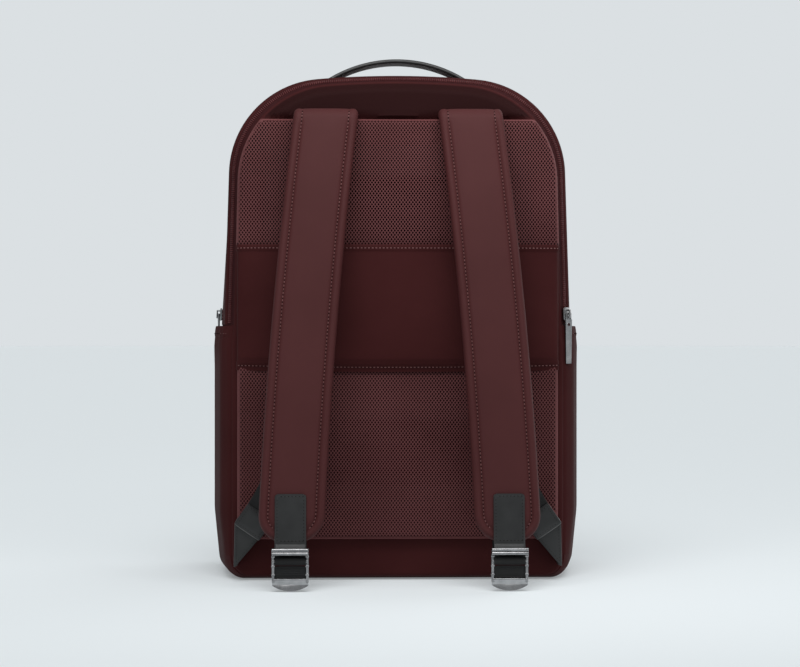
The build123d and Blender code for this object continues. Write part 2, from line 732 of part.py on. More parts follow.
for zip_name, (tape_plane, pull_up) in slider_frames.items():
    with BuildPart(tape_plane) as slider:
        with Locations((0, 0, slider_under + slider_plate / 2)):
            Box(slider_width, slider_length, slider_plate)
        for wall_sign in (-1, 1):
            with Locations((wall_sign * (slider_width - slider_wall) / 2, 0, slider_under)):
                Box(slider_wall, slider_length, coil_rise)
        with Locations((0, 0, (plate_top + bail_height) / 2)):
            Box(bail_width, bail_length, bail_height - plate_top)
        with Locations((0, 0, bar_height)):
            Cylinder(pull_bar_radius + bar_fit, slider_width, rotation=(0, 90, 0), mode=Mode.SUBTRACT)
    slider.part.label = f"{zip_name}_slider"
    export_step(slider.part, f"parts/{zip_name}_slider.step")

    pull_origin = tape_plane.origin + tape_plane.z_dir * bar_height
    pull_out = tape_plane.x_dir.cross(pull_up)
    arm_gap = bail_width / 2 + move_gap
    with BuildPart(Plane(pull_origin, x_dir=tape_plane.x_dir, z_dir=pull_out)) as pull:
        Cylinder(pull_bar_radius, 2 * arm_gap, rotation=(0, 90, 0))
        for arm_sign in (-1, 1):
            with Locations((arm_sign * (arm_gap + pull_arm / 2), -bail_length / 4 - 2 * move_gap, 0)):
                Box(pull_arm, bail_length / 2 + 4 * move_gap + 2 * pull_bar_radius, 2 * pull_bar_radius)
        with Locations((0, -bail_length / 2 - 2 * move_gap - pull_lengths[zip_name] / 2, 0)):
            Box(pull_width, pull_lengths[zip_name], pull_thickness)
    pull.part.label = f"{zip_name}_pull"
    export_step(pull.part, f"parts/{zip_name}_pull.step")
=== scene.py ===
import bpy
import bmesh
import math
import numpy as np
from mathutils import Matrix, Vector


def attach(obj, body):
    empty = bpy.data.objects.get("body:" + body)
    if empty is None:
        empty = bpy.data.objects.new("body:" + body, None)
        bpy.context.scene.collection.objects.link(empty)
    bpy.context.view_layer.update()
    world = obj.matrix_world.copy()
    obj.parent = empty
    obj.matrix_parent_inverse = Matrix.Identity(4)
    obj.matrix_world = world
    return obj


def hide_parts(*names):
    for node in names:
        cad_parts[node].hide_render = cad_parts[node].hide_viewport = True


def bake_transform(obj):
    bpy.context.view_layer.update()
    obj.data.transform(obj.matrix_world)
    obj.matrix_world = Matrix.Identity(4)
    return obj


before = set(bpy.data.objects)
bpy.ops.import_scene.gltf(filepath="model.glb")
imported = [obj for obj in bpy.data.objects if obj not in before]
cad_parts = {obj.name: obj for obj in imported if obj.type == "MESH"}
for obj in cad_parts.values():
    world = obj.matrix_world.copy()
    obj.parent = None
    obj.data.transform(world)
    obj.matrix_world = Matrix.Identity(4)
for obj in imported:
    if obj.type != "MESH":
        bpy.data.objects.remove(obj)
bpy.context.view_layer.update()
bpy.ops.object.select_all(action="DESELECT")

MM = 0.001

# Shared measures of the bag, in millimetres.
BACK_Y, FRONT_Y = -72.0, 72.0     # depth of the back panel and of the front
CROWN_Z = 412.5                   # height of the bag at its middle
BUCKLE_X = 87.0                   # the buckles' distance from the middle
RIB_LENGTH = 24.4                 # ribs across the webbing

# ---------------------------------------------------------------- finishes

def new_group(name, detail_name, shade_name):
    """A node group with a detail scale going in, a height and a shade coming out, and its coordinates."""
    group = bpy.data.node_groups.new(name, "ShaderNodeTree")
    group.interface.new_socket(detail_name, in_out="INPUT", socket_type="NodeSocketFloat")
    for label in ("Height", shade_name):
        group.interface.new_socket(label, in_out="OUTPUT", socket_type="NodeSocketFloat")
    start, end = group.nodes.new("NodeGroupInput"), group.nodes.new("NodeGroupOutput")
    return group, group.nodes.new("ShaderNodeTexCoord").outputs["Object"], start.outputs[0], end.inputs


def noise(group, place, scale, detail=2.0):
    node = group.nodes.new("ShaderNodeTexNoise")
    node.inputs["Detail"].default_value = detail
    group.links.new(place, node.inputs["Vector"])
    if isinstance(scale, float):
        node.inputs["Scale"].default_value = scale
    else:
        group.links.new(scale, node.inputs["Scale"])
    return node.outputs["Fac"]


def math_node(tree, operation, a, b=None):
    node = tree.nodes.new("ShaderNodeMath")
    node.operation = operation
    for slot, value in ((0, a), (1, b)):
        if value is None:
            continue
        if isinstance(value, (int, float)):
            node.inputs[slot].default_value = value
        else:
            tree.links.new(value, node.inputs[slot])
    return node.outputs[0]


def mix_colour(tree, share, a, b):
    node = tree.nodes.new("ShaderNodeMix")
    node.data_type = "RGBA"
    for slot, value in ((0, share), (6, a), (7, b)):
        if isinstance(value, bpy.types.NodeSocket):
            tree.links.new(value, node.inputs[slot])
        else:
            node.inputs[slot].default_value = value
    return node.outputs[2]


def cloth_weave_group():
    """Fine woven threads with a soft unevenness: a height and a small colour change."""
    group, place, threads, out = new_group("Cloth weave", "Threads", "Shade")
    split = group.nodes.new("ShaderNodeSeparateXYZ")
    group.links.new(place, split.inputs[0])
    waves = []
    for axis in range(3):
        turn = math_node(group, "MULTIPLY", split.outputs[axis], threads)
        waves.append(math_node(group, "SINE", math_node(group, "MULTIPLY", turn, 6.2832)))
    pair = math_node(group, "MULTIPLY", waves[0], waves[2])
    other = math_node(group, "MULTIPLY", waves[1], waves[2])
    group.links.new(math_node(group, "ADD", pair, other), out["Height"])
    group.links.new(noise(group, place, 14.0, 4.0), out["Shade"])
    return group


def leather_grain_group():
    """Pebbled grain: small cells with creases between them."""
    group, place, grain, out = new_group("Leather grain", "Grain", "Shade")
    cells = group.nodes.new("ShaderNodeTexVoronoi")
    cells.feature = "DISTANCE_TO_EDGE"
    group.links.new(place, cells.inputs["Vector"])
    group.links.new(grain, cells.inputs["Scale"])
    group.links.new(math_node(group, "MINIMUM", cells.outputs["Distance"], 0.25), out["Height"])
    group.links.new(noise(group, place, 90.0), out["Shade"])
    return group


def metal_wear_group():
    """Faint brushing and rubbed patches on dark plated metal."""
    group, place, brush, out = new_group("Plated metal wear", "Brush", "Rub")
    stretch = group.nodes.new("ShaderNodeMapping")
    stretch.inputs["Scale"].default_value = (0.15, 1.0, 1.0)
    group.links.new(place, stretch.inputs["Vector"])
    group.links.new(noise(group, stretch.outputs[0], brush), out["Height"])
    group.links.new(noise(group, place, 160.0), out["Rub"])
    return group


WEAVE = cloth_weave_group()
GRAIN = leather_grain_group()
WEAR = metal_wear_group()
finishes = {}


def finish_material(name, dark, light, roughness, group, detail, bump, metallic=0.0, specular=0.5,
                    attribute=None, painted_shade_colour=None):
    """A finish whose colour drifts between dark and light, with a bump from the group's height.

    Where the mesh's own attribute rises to 1, the colour goes over to the given colour of painted shade.
    """
    material = bpy.data.materials.new(name)
    material.use_nodes = True
    tree = material.node_tree
    shader = tree.nodes["Principled BSDF"]
    effect = tree.nodes.new("ShaderNodeGroup")
    effect.node_tree = group
    effect.inputs[0].default_value = detail
    spread = tree.nodes.new("ShaderNodeMapRange")
    spread.inputs["From Min"].default_value = 0.35
    spread.inputs["From Max"].default_value = 0.65
    tree.links.new(effect.outputs[1], spread.inputs["Value"])
    colour = mix_colour(tree, spread.outputs[0], (*dark, 1.0), (*light, 1.0))
    if attribute:
        # Painted shade: the attribute darkens the colour towards the given shade colour.
        painted_shade_mark = tree.nodes.new("ShaderNodeAttribute")
        painted_shade_mark.attribute_name = attribute
        colour = mix_colour(tree, painted_shade_mark.outputs["Fac"], colour, (*painted_shade_colour, 1.0))
    tree.links.new(colour, shader.inputs["Base Color"])
    bump_node = tree.nodes.new("ShaderNodeBump")
    bump_node.inputs["Strength"].default_value = bump
    bump_node.inputs["Distance"].default_value = 0.0003
    tree.links.new(effect.outputs[0], bump_node.inputs["Height"])
    tree.links.new(bump_node.outputs[0], shader.inputs["Normal"])
    shader.inputs["Roughness"].default_value = roughness
    shader.inputs["Metallic"].default_value = metallic
    shader.inputs["Specular IOR Level"].default_value = specular
    finishes[name] = material


# Name, dark and light colour, roughness, group, detail, bump, and what else the shader needs.
for name, dark, light, roughness, group, detail, bump, other in (
    # shell_fabric is darkened to painted shade on the yoke, through the shade attribute.
    ("shell_fabric", (0.0345, 0.0069, 0.0071), (0.0415, 0.0090, 0.0092), 0.68, WEAVE, 1700.0, 0.12,
     dict(specular=0.06, attribute="shade", painted_shade_colour=(0.0125, 0.0026, 0.0027))),
    ("strap_fabric", (0.0500, 0.0112, 0.0114), (0.0570, 0.0136, 0.0139), 0.64, WEAVE, 1700.0, 0.12,
     dict(specular=0.16)),
    # mesh_fabric is darkened to painted shade on the sunken floors of its cells.
    ("mesh_fabric", (0.110, 0.036, 0.037), (0.135, 0.046, 0.047), 0.72, WEAVE, 2600.0, 0.1,
     dict(specular=0.12, attribute="pit_painted_shade", painted_shade_colour=(0.0085, 0.0020, 0.0022))),
    ("lining_fabric", (0.022, 0.0048, 0.0050), (0.028, 0.0064, 0.0067), 0.8, WEAVE, 1300.0, 0.1,
     dict(specular=0.08)),
    ("grey_lining", (0.10, 0.10, 0.105), (0.13, 0.13, 0.135), 0.75, WEAVE, 1300.0, 0.1, {}),
    ("zip_fabric", (0.026, 0.0060, 0.0066), (0.033, 0.0082, 0.0090), 0.68, WEAVE, 1900.0, 0.25,
     dict(specular=0.06)),
    ("zip_coil", (0.072, 0.019, 0.020), (0.098, 0.028, 0.029), 0.60, GRAIN, 400.0, 0.05, dict(specular=0.1)),
    # Painted shade: dark beads between the stitches stand for the shade in the needle holes.
    ("needle_hole", (0.0050, 0.0012, 0.0012), (0.0065, 0.0016, 0.0016), 0.9, GRAIN, 2000.0, 0.1,
     dict(specular=0.05)),
    ("thread", (0.120, 0.044, 0.043), (0.155, 0.060, 0.057), 0.6, GRAIN, 2000.0, 0.1, {}),
    ("dark_thread", (0.010, 0.010, 0.010), (0.016, 0.016, 0.016), 0.55, GRAIN, 2000.0, 0.1, {}),
    ("black_leather", (0.0105, 0.0105, 0.0106), (0.0160, 0.0160, 0.0161), 0.37, GRAIN, 1100.0, 0.22,
     dict(specular=0.45)),
    ("leather_edge", (0.085, 0.083, 0.081), (0.11, 0.108, 0.105), 0.6, GRAIN, 1500.0, 0.3, {}),
    ("black_webbing", (0.0130, 0.0131, 0.0133), (0.0200, 0.0201, 0.0203), 0.7, WEAVE, 900.0, 0.5,
     dict(specular=0.15)),
    ("gunmetal", (0.22, 0.22, 0.225), (0.30, 0.30, 0.305), 0.26, WEAR, 700.0, 0.08, dict(metallic=1.0)),
    ("polished_metal", (0.33, 0.33, 0.335), (0.42, 0.42, 0.425), 0.24, WEAR, 700.0, 0.05, dict(metallic=1.0)),
    ("board", (0.05, 0.05, 0.055), (0.07, 0.07, 0.075), 0.6, GRAIN, 500.0, 0.1, {}),
):
    finish_material(name, dark, light, roughness, group, detail, bump, **other)

# ---------------------------------------------------------------- the bag's surface
# Depth, how far the sides stand out low down, at the pocket mouths and at the top, lift of
# the foot, rise of the crown, and the room a side pocket takes low down and at its mouth.

SECTIONS = np.array([
    (-72.0, 0.0, 0.0, 0.0, 4.0, 0.0, 0.0, 0.0),
    (-60.0, 11.2, 11.5, 8.5, 0.0, 7.5, 7.2, 1.5),
    (-12.0, 19.2, 20.0, 8.0, 0.0, 8.5, 7.0, 5.0),
    (12.0, 19.2, 20.0, 8.0, 0.0, 8.5, 7.0, 5.0),
    (50.0, 17.0, 18.6, 6.5, 0.0, 7.0, 7.6, 5.0),
    (72.0, 7.0, 7.0, 1.0, 5.0, -2.5, 0.0, 0.0),
])
FOOT = 15.0         # rounding of the lower corners
SHOULDER = 80.0     # rounding of the shoulders
MOUTH = 211.0       # height of the side pockets' mouths
RECESS = 195.0      # height where the sides start to draw in towards the mouths


def section_at(y):
    soft = min(4.0, FRONT_Y - abs(y))
    depths = y + np.linspace(-soft, soft, 7)
    return [np.interp(depths, SECTIONS[:, 0], SECTIONS[:, k]).mean() for k in range(1, 8)]


def half_outline(y, inset=0.0, pockets=False):
    """The bag's outline at one depth, from the middle of the foot up the right side to the crown."""
    low_out, mid_out, high_out, lift, rise, room_low, room_mid = section_at(y)
    if pockets:
        room_low = room_mid = 0.0
    low = 137.0 + low_out - room_low - inset
    mid = 134.5 + mid_out - room_mid - inset
    high = 130.0 + high_out - inset
    top = CROWN_Z + rise - inset
    corner = top - 12.5
    base, foot, shoulder = lift + inset, FOOT - inset, SHOULDER - inset
    arch = (high ** 2 + 12.5 ** 2) / 25.0
    arch_z = top - arch
    up = np.array([high - mid, corner - MOUTH])
    up /= np.linalg.norm(up)
    inward = np.array([-up[1], up[0]])
    start = np.array([mid, MOUTH])
    q = start + shoulder * inward - np.array([0.0, arch_z])
    t = -q @ up + math.sqrt((q @ up) ** 2 - q @ q + (arch - shoulder) ** 2)
    centre = start + t * up + shoulder * inward
    side_end = start + t * up
    crown_dir = (centre - np.array([0.0, arch_z])) / (arch - shoulder)
    a0 = math.atan2(*(side_end - centre)[::-1])
    a1 = math.atan2(crown_dir[1], crown_dir[0])
    parts = [
        np.stack([np.linspace(0, low - foot, 30), np.full(30, base)], 1),
        np.array([(low - foot + foot * math.sin(a), base + foot - foot * math.cos(a))
                  for a in np.linspace(0.05, math.pi / 2, 14)]),
        np.stack([np.full(40, low), np.linspace(base + foot + 1, RECESS, 40)], 1),
        np.stack([np.linspace(low, mid, 9)[1:], np.linspace(RECESS, MOUTH, 9)[1:]], 1),
        np.array([start + (side_end - start) * k for k in np.linspace(0, 1, 41)[1:]]),
        np.array([centre + shoulder * np.array([math.cos(a), math.sin(a)])
                  for a in np.linspace(a0, a1, 32)[1:]]),
        np.array([(arch * math.cos(a), arch_z + arch * math.sin(a))
                  for a in np.linspace(a1, math.pi / 2, 42)[1:]]),
    ]
    line = np.concatenate(parts)
    draw_in = 5.5 * float(np.clip((y - BACK_Y) / 14.0, 0, 1)) * np.clip(1 - line[:, 1] / 55.0, 0, 1)
    line[:, 0] *= 1 - draw_in / low
    return line


def resample(line, count):
    step = np.concatenate([[0], np.cumsum(np.linalg.norm(np.diff(line, axis=0), axis=1))])
    at = np.linspace(0, step[-1], count)
    return np.stack([np.interp(at, step, line[:, k]) for k in range(line.shape[1])], 1)


def put_depth(line, y):
    return np.stack([line[:, 0], np.full(len(line), y), line[:, 1]], 1)


def side_x(y, z, inset=0.0, pockets=False):
    half = half_outline(y, inset, pockets)
    side = half[30:]
    return np.interp(z, side[:, 1], side[:, 0])


def over_top(y, z_start, count, inset=0.0, pockets=False):
    """From one side at z_start up over the crown and down the other side, evenly spaced."""
    half = half_outline(y, inset, pockets)[30:]
    x0 = np.interp(z_start, half[:, 1], half[:, 0])
    right = np.concatenate([[(x0, z_start)], half[half[:, 1] > z_start + 0.01]])
    whole = np.concatenate([right, (right * (-1, 1))[::-1][1:]])
    return put_depth(resample(whole, count), y)


def over_top_levels(y, levels, crown_count, inset=0.0, pockets=False):
    """Like over_top, with columns at fixed heights up to the last level."""
    half = half_outline(y, inset, pockets)[30:]
    side = np.stack([np.interp(levels, half[:, 1], half[:, 0]), levels], 1)
    crown = np.concatenate([side[-1:], half[half[:, 1] > levels[-1] + 0.01]])
    crown = np.concatenate([crown, (crown * (-1, 1))[::-1][1:]])
    crown = resample(crown, crown_count)
    whole = np.concatenate([side[:-1], crown, (side * (-1, 1))[::-1][1:]])
    return put_depth(whole, y)


def under_foot(y, z_end, count, inset=0.0, pockets=False):
    half = half_outline(y, inset, pockets)
    low = half[: 30 + np.argmax(half[30:, 1] > z_end - 0.01)]
    x1 = np.interp(z_end, half[30:, 1], half[30:, 0])
    right = np.concatenate([low, [(x1, z_end)]])
    whole = np.concatenate([right[::-1], (right * (-1, 1))[1:]])
    return put_depth(resample(whole, count), y)


def whole_outline(y, count, inset=0.0):
    half = half_outline(y, inset)
    loop = np.concatenate([half, (half * (-1, 1))[::-1][1:]])
    return put_depth(resample(loop, count + 1)[:-1], y)


# ---------------------------------------------------------------- sewing-room helpers

def grid_quads(rows, cols, base=0, closed=False):
    index = base + np.arange(rows * cols).reshape(rows, cols)
    if closed:
        index = np.concatenate([index, index[:, :1]], 1)
    return np.stack([index[:-1, :-1], index[:-1, 1:], index[1:, 1:], index[1:, :-1]], -1).reshape(-1, 4)


def closed_rows(rows):
    """Points and faces of a form made of closed rings, shut at both ends."""
    rows = np.asarray(rows)
    count, around = rows.shape[:2]
    faces = grid_quads(count, around, 0, True).tolist()
    faces.append(list(range(around)))
    faces.append(list(range((count - 1) * around, count * around))[::-1])
    return rows.reshape(-1, 3), faces


def wall_between(outer, inner, closed_end=False):
    """Points and faces of a cloth wall between two grids: both faces and the rims.

    With closed_end the last row meets itself and needs no rim.
    """
    outer, inner = np.asarray(outer), np.asarray(inner)
    rows, cols = outer.shape[:2]
    verts = np.concatenate([outer.reshape(-1, 3), inner.reshape(-1, 3)])
    count = rows * cols
    index = np.arange(count).reshape(rows, cols)
    border = np.concatenate([index[0], index[1:, -1], index[-1, ::-1][1:], index[::-1, 0][1:]])
    if closed_end:
        first, last = cols - 1 + rows - 1, cols - 1 + rows - 1 + cols - 1
        keep = np.r_[0:first, last:len(border) - 1]
    else:
        keep = np.arange(len(border) - 1)
    rim = np.stack([border[:-1], border[:-1] + count, border[1:] + count, border[1:]], 1)[keep]
    faces = np.concatenate([grid_quads(rows, cols), grid_quads(rows, cols, count)[:, ::-1], rim])
    return verts, faces.tolist()


def sew(name, parts, smooth_angle=40.0, attribute=None):
    """One piece from (points, faces, finish) parts, in millimetres, closed and facing outwards."""
    mesh = bpy.data.meshes.new(name)
    verts, faces, slots, painted_shade_marks, names = [], [], [], [], []
    base = 0
    for part in parts:
        points, quads, finish = part[:3]
        if finish not in names:
            names.append(finish)
        verts.append(np.asarray(points))
        faces += [tuple(int(i) + base for i in f) for f in quads]
        slots += [names.index(finish)] * len(quads)
        painted_shade_marks.append(part[3] if len(part) > 3 else np.zeros(len(points)))
        base += len(points)
    mesh.from_pydata((np.concatenate(verts) * MM).tolist(), [], faces)
    mesh.polygons.foreach_set("material_index", slots)
    for finish in names:
        mesh.materials.append(finishes[finish])
    # The parts' painted shade is stored in the named attribute.
    if attribute:
        layer = mesh.attributes.new(attribute, "FLOAT", "POINT")
        layer.data.foreach_set("value", np.concatenate(painted_shade_marks).astype(np.float32))
    shape = bmesh.new()
    shape.from_mesh(mesh)
    bmesh.ops.remove_doubles(shape, verts=shape.verts, dist=2e-6)
    bmesh.ops.dissolve_degenerate(shape, edges=shape.edges, dist=1e-6)
    bmesh.ops.recalc_face_normals(shape, faces=shape.faces)
    shape.to_mesh(mesh)
    shape.free()
    piece = bpy.data.objects.new(name, mesh)
    bpy.context.collection.objects.link(piece)
    smooth(piece, smooth_angle)
    return piece


def smooth(piece, angle=40.0):
    bpy.ops.object.select_all(action="DESELECT")
    piece.select_set(True)
    bpy.context.view_layer.objects.active = piece
    bpy.ops.object.shade_smooth_by_angle(angle=math.radians(angle))
    piece.select_set(False)


RIGHT, FORWARD, BACKWARD, UP = (1.0, 0.0, 0.0), (0.0, 1.0, 0.0), (0.0, -1.0, 0.0), (0.0, 0.0, 1.0)


def rows_of(direction, count):
    return np.tile(direction, (count, 1))


def unit(v):
    v = np.asarray(v, float)
    return v / np.maximum(np.linalg.norm(v, axis=-1, keepdims=True), 1e-9)


BEAD_ENDS = ((-0.5, 0.35), (-0.32, 1.0), (0.32, 1.0), (0.5, 0.35))
BEAD_ARC = [(math.cos(a), math.sin(a)) for a in np.linspace(0, math.pi, 5)]


def beads(middles, along, out, length, width, height):
    """Small rounded beads, such as stitches and zipper teeth, lying along `along` and standing out."""
    middles, along, out = np.asarray(middles), unit(along), unit(out)
    across = np.cross(along, out)
    verts = []
    for share, size in BEAD_ENDS:
        for c, s in BEAD_ARC:
            verts.append(middles + along * length * share + across * (c * width / 2 * size)
                         + out * ((s * size * height) - 0.15))
    verts = np.stack(verts, 1)
    pattern = []
    for ring in range(3):
        for k in range(5):
            a, b = ring * 5 + k, ring * 5 + (k + 1) % 5
            pattern.append((a, b, b + 5, a + 5))
    count = len(middles)
    base = (np.arange(count) * 20)[:, None, None]
    quads = (np.array(pattern)[None] + base).reshape(-1, 4).tolist()
    ends = np.array([(4, 3, 2, 1, 0), (15, 16, 17, 18, 19)])
    caps = (ends[None] + base).reshape(-1, 5).tolist()
    return verts.reshape(-1, 3), quads + caps


def spaced(line, pitch, margin=0.0):
    """Points every pitch along a line, with their directions."""
    step = np.concatenate([[0], np.cumsum(np.linalg.norm(np.diff(line, axis=0), axis=1))])
    count = max(2, int((step[-1] - 2 * margin) / pitch))
    at = margin + (np.arange(count) + 0.5) * (step[-1] - 2 * margin) / count
    points = np.stack([np.interp(at, step, line[:, k]) for k in range(3)], 1)
    ahead = np.stack([np.interp(at + 0.3, step, line[:, k]) for k in range(3)], 1)
    behind = np.stack([np.interp(at - 0.3, step, line[:, k]) for k in range(3)], 1)
    return points, unit(ahead - behind)


def stitches(line, out, pitch=3.0, length=1.7, width=0.9, height=0.34, finish="thread", margin=1.0):
    """A row of topstitching along a line, as parts for sew: the stitches, and between them dark beads of
    painted shade for the needle holes.
    """
    points, along = spaced(np.asarray(line, float), pitch, margin)
    facing = out(points) if callable(out) else rows_of(np.asarray(out, float), len(points))
    verts, faces = beads(points, along, facing, length, width, height)
    hole_shade_beads = beads(points + along * pitch / 2, along, facing, pitch * 0.42, width * 0.95, height * 0.72)
    return [(verts, faces, finish), (*hole_shade_beads, "needle_hole")]


def body_out(y, pockets=False):
    """The direction out of the bag's surface near depth y, for points on it."""
    def facing(points):
        line = over_top(y, 22.0, 500, 0.0, pockets)
        a, b = over_top(y - 1.5, 22.0, 500, 0.0, pockets), over_top(y + 1.5, 22.0, 500, 0.0, pockets)
        along = np.gradient(line, axis=0)
        normal = unit(np.cross(along, b - a))
        centre = np.array([0.0, y, 220.0])
        normal *= np.sign(((line - centre) * normal).sum(1))[:, None]
        nearest = np.argmin(((points[:, None, :] - line[None]) ** 2).sum(-1), 1)
        return normal[nearest]
    return facing


def settle(piece, slot, body=None, replaces=(), blend=None):
    """Give a finished piece its body, or bake its placing into its points when it has a blend, and hide the
    parts of the frame that it stands for.
    """
    if blend:
        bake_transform(piece)
    elif body:
        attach(piece, body)
    if replaces:
        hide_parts(*replaces)


def ease(t):
    t = np.clip(t, 0.0, 1.0)
    return t * t * (3 - 2 * t)


# ---------------------------------------------------------------- back panel

YOKE = 382.6          # height of the seam between the upper pad and the padded yoke
YOKE_PAINTED_SHADE = 0.88    # how far the yoke's colour goes towards the painted shade colour of the cloth
OUTLINE_POINTS = 360
PANEL_MIDDLE = np.array([0.0, 0.0, 205.0])


def back_panel_puff(z, edge):
    """How far the panel stands out past its seam; the yoke is padded."""
    yoke = ease((z - YOKE - 0.2) / 2.6) * ease(edge / 7.0) * 4.6
    return yoke + ease(edge / 3.0) * 0.6


def panel_ring(ring, y):
    ring[:, 1] = y
    rings.append(ring)


def drawn_in(ring, share):
    """A copy of a ring drawn in towards the middle of the panel."""
    return PANEL_MIDDLE + (ring - PANEL_MIDDLE) * (share, 1, share)


rings = []
for share in (0.02, 0.3, 0.6, 0.9, 0.97):
    panel_ring(drawn_in(whole_outline(BACK_Y, OUTLINE_POINTS), share), -66.0)
for y, inset in ((-69.2, 0.4), (-70.2, -0.3), (-71.4, -0.1)):
    panel_ring(whole_outline(y, OUTLINE_POINTS, inset), y)
panel_ring(whole_outline(BACK_Y, OUTLINE_POINTS, 0.8), -72.3)
for inset in (2.0, 3.5, 5.0, 7.0, 9.0, 11.0, 13.0, 15.0):
    ring = whole_outline(BACK_Y, OUTLINE_POINTS, inset)
    panel_ring(ring, BACK_Y - back_panel_puff(ring[:, 2], inset))
last = rings[-1]
for share in np.linspace(0.985, 0.02, 60):
    ring = drawn_in(last, share)
    panel_ring(ring, BACK_Y - back_panel_puff(ring[:, 2], 20.0))
verts, faces = closed_rows(rings)
# Painted shade: the yoke's padded face is darkened through the shade attribute.
yoke_painted_shade = YOKE_PAINTED_SHADE * ease((verts[:, 2] - YOKE) / 3.0) * (verts[:, 1] < BACK_Y + 0.1)
back_panel = sew("back_panel_and_yoke", [(verts, faces, "shell_fabric", yoke_painted_shade)], attribute="shade")
settle(back_panel, "shell_fabric", "bag", ("back_cover", "back_foam"))

# ---------------------------------------------------------------- padded mesh

PIT_X, PIT_Z = 1.35, 1.8  # half the width and height of one diamond of the mesh


def pad_half_width(z):
    """The pads lie inside the sleeve's sides, and above it they reach the edge seam."""
    wide, close = half_outline(BACK_Y, 3.8)[30:], half_outline(BACK_Y, -1.2)[30:]
    share = ease((np.asarray(z) - 270.0) / 8.0)
    return np.interp(z, wide[:, 1], wide[:, 0]) * (1 - share) + np.interp(z, close[:, 1], close[:, 0]) * share


def pad_edge_distance(x, z, low, high):
    side = pad_half_width(z) - np.abs(x)
    ends = np.minimum(z - low, high - z)
    corner = 4.0
    both = (side < corner) & (ends < corner)
    rounded = corner - np.hypot(corner - np.clip(side, None, corner), corner - np.clip(ends, None, corner))
    return np.where(both, rounded, np.minimum(side, ends))


def pad_face(x, z, low, high):
    d = pad_edge_distance(x, z, low, high)
    roll = np.sqrt(np.clip(1 - (1 - np.clip(d / 5.0, 0, 1)) ** 2, 0, 1))
    crown = 1.1 * ease(d / 45.0)
    return BACK_Y - 0.4 - 7.6 * roll - crown


def mesh_pad(name, low, high, lattice_low, replaces):
    """A padded form with a rolled edge, and over it diamond cells with sunken middles, whose floors carry
    painted shade.
    """
    roll = np.array([0, .4, 1, 2, 3.2, 4.6, 6, 8])
    z_rows = np.concatenate([low + roll, np.linspace(low + 10, high - 10, 60), high - roll[::-1]])
    shares = np.sin(np.linspace(-math.pi / 2, math.pi / 2, 110))
    x = pad_half_width(z_rows)[:, None] * shares[None]
    z = np.repeat(z_rows[:, None], len(shares), 1)
    front = np.stack([x, pad_face(x, z, low, high), z], -1)
    back = np.stack([x, np.full_like(x, -70.6), z], -1)
    verts, faces = wall_between(front, back)
    faces = np.array(faces)
    middles = verts[faces].mean(1)
    covered = pad_edge_distance(middles[:, 0], middles[:, 2], low, high) > 2.6
    parts = [(verts, faces[~covered].tolist(), "mesh_fabric"),
             (verts, faces[covered].tolist(), "lining_fabric")]
    columns = int(140 / PIT_X) + 2
    i, j = np.meshgrid(np.arange(-columns // 2, columns // 2 + 1),
                       np.arange(int((high - lattice_low) / PIT_Z) + 1))
    cx = (i * 2 * PIT_X + (j % 2) * PIT_X).ravel()
    cz = (lattice_low + j * PIT_Z).ravel()
    keep = pad_edge_distance(cx, cz, low, high) > 1.6
    cx, cz = cx[keep], cz[keep]
    corners = ((PIT_X, 0), (0, PIT_Z), (-PIT_X, 0), (0, -PIT_Z))
    cells, painted_shade_marks = [], []
    # Each ring of a cell: its size, how far it sinks, and how much painted shade it carries, full on the
    # sunken floor.
    for size, depth, painted_shade_mark in ((1.0, 0.0, 0.0), (0.72, 0.05, 0.15), (0.60, 0.85, 1.0)):
        for dx, dz in corners:
            px, pz = cx + dx * size, cz + dz * size
            d = np.clip(pad_edge_distance(px, pz, low, high), 0, None)
            lift = 1.0 * ease(d / 3.0) - 0.15
            cells.append(np.stack([px, pad_face(px, pz, low, high) - lift + depth * ease(d / 3.0), pz], -1))
            painted_shade_marks.append(np.full(len(cx), painted_shade_mark))
    cells = np.stack(cells, 1)
    painted_shade_marks = np.stack(painted_shade_marks, 1).ravel()
    pattern = []
    for k in range(4):
        n = (k + 1) % 4
        pattern.append((k, n, 4 + n, 4 + k))
        pattern.append((4 + k, 4 + n, 8 + n, 8 + k))
    pattern.append((8, 9, 10, 11))
    quads = (np.array(pattern)[None] + (np.arange(len(cx)) * 12)[:, None, None]).reshape(-1, 4)
    parts.append((cells.reshape(-1, 3), quads[:, ::-1].tolist(), "mesh_fabric", painted_shade_marks))
    pad = sew(name, parts, 35.0, "pit_painted_shade")
    settle(pad, "mesh_fabric", "bag", replaces)
    return pad


upper_pad = mesh_pad("upper_mesh_pad", 180.5, YOKE, 268.0, ("upper_pad_mesh", "upper_pad_foam"))
mesh_pad("lower_mesh_pad", 34.0, 180.0, 34.0, ("lower_pad_mesh", "lower_pad_foam"))

# ---------------------------------------------------------------- sleeve pocket

SLEEVE_HALF = 133.2


def sleeve_sag(x, z):
    """The lower hem hangs down a little in its middle."""
    return -1.6 * (1 - (x / SLEEVE_HALF) ** 2) * (1 - ease((z - 178.0) / 40.0))


def sleeve_point(share, z, inset):
    """A point of the sleeve: share runs 0 to 1 across it, round both side seams."""
    angle = math.pi * (1 - share)
    power = 2 / 5.5
    half = SLEEVE_HALF - inset
    depth = (10.2 + 5.8 * ease((z - 174.0) / 12.0)) - inset
    x = half * np.sign(np.cos(angle)) * np.abs(np.cos(angle)) ** power
    y = BACK_Y - depth * np.abs(np.sin(angle)) ** power
    middle = 1 - (x / half) ** 2
    y = y - 0.5 * middle * np.sin(x / 31.0 + 0.6) * np.sin((z - 176) / 34.0)
    return x, y


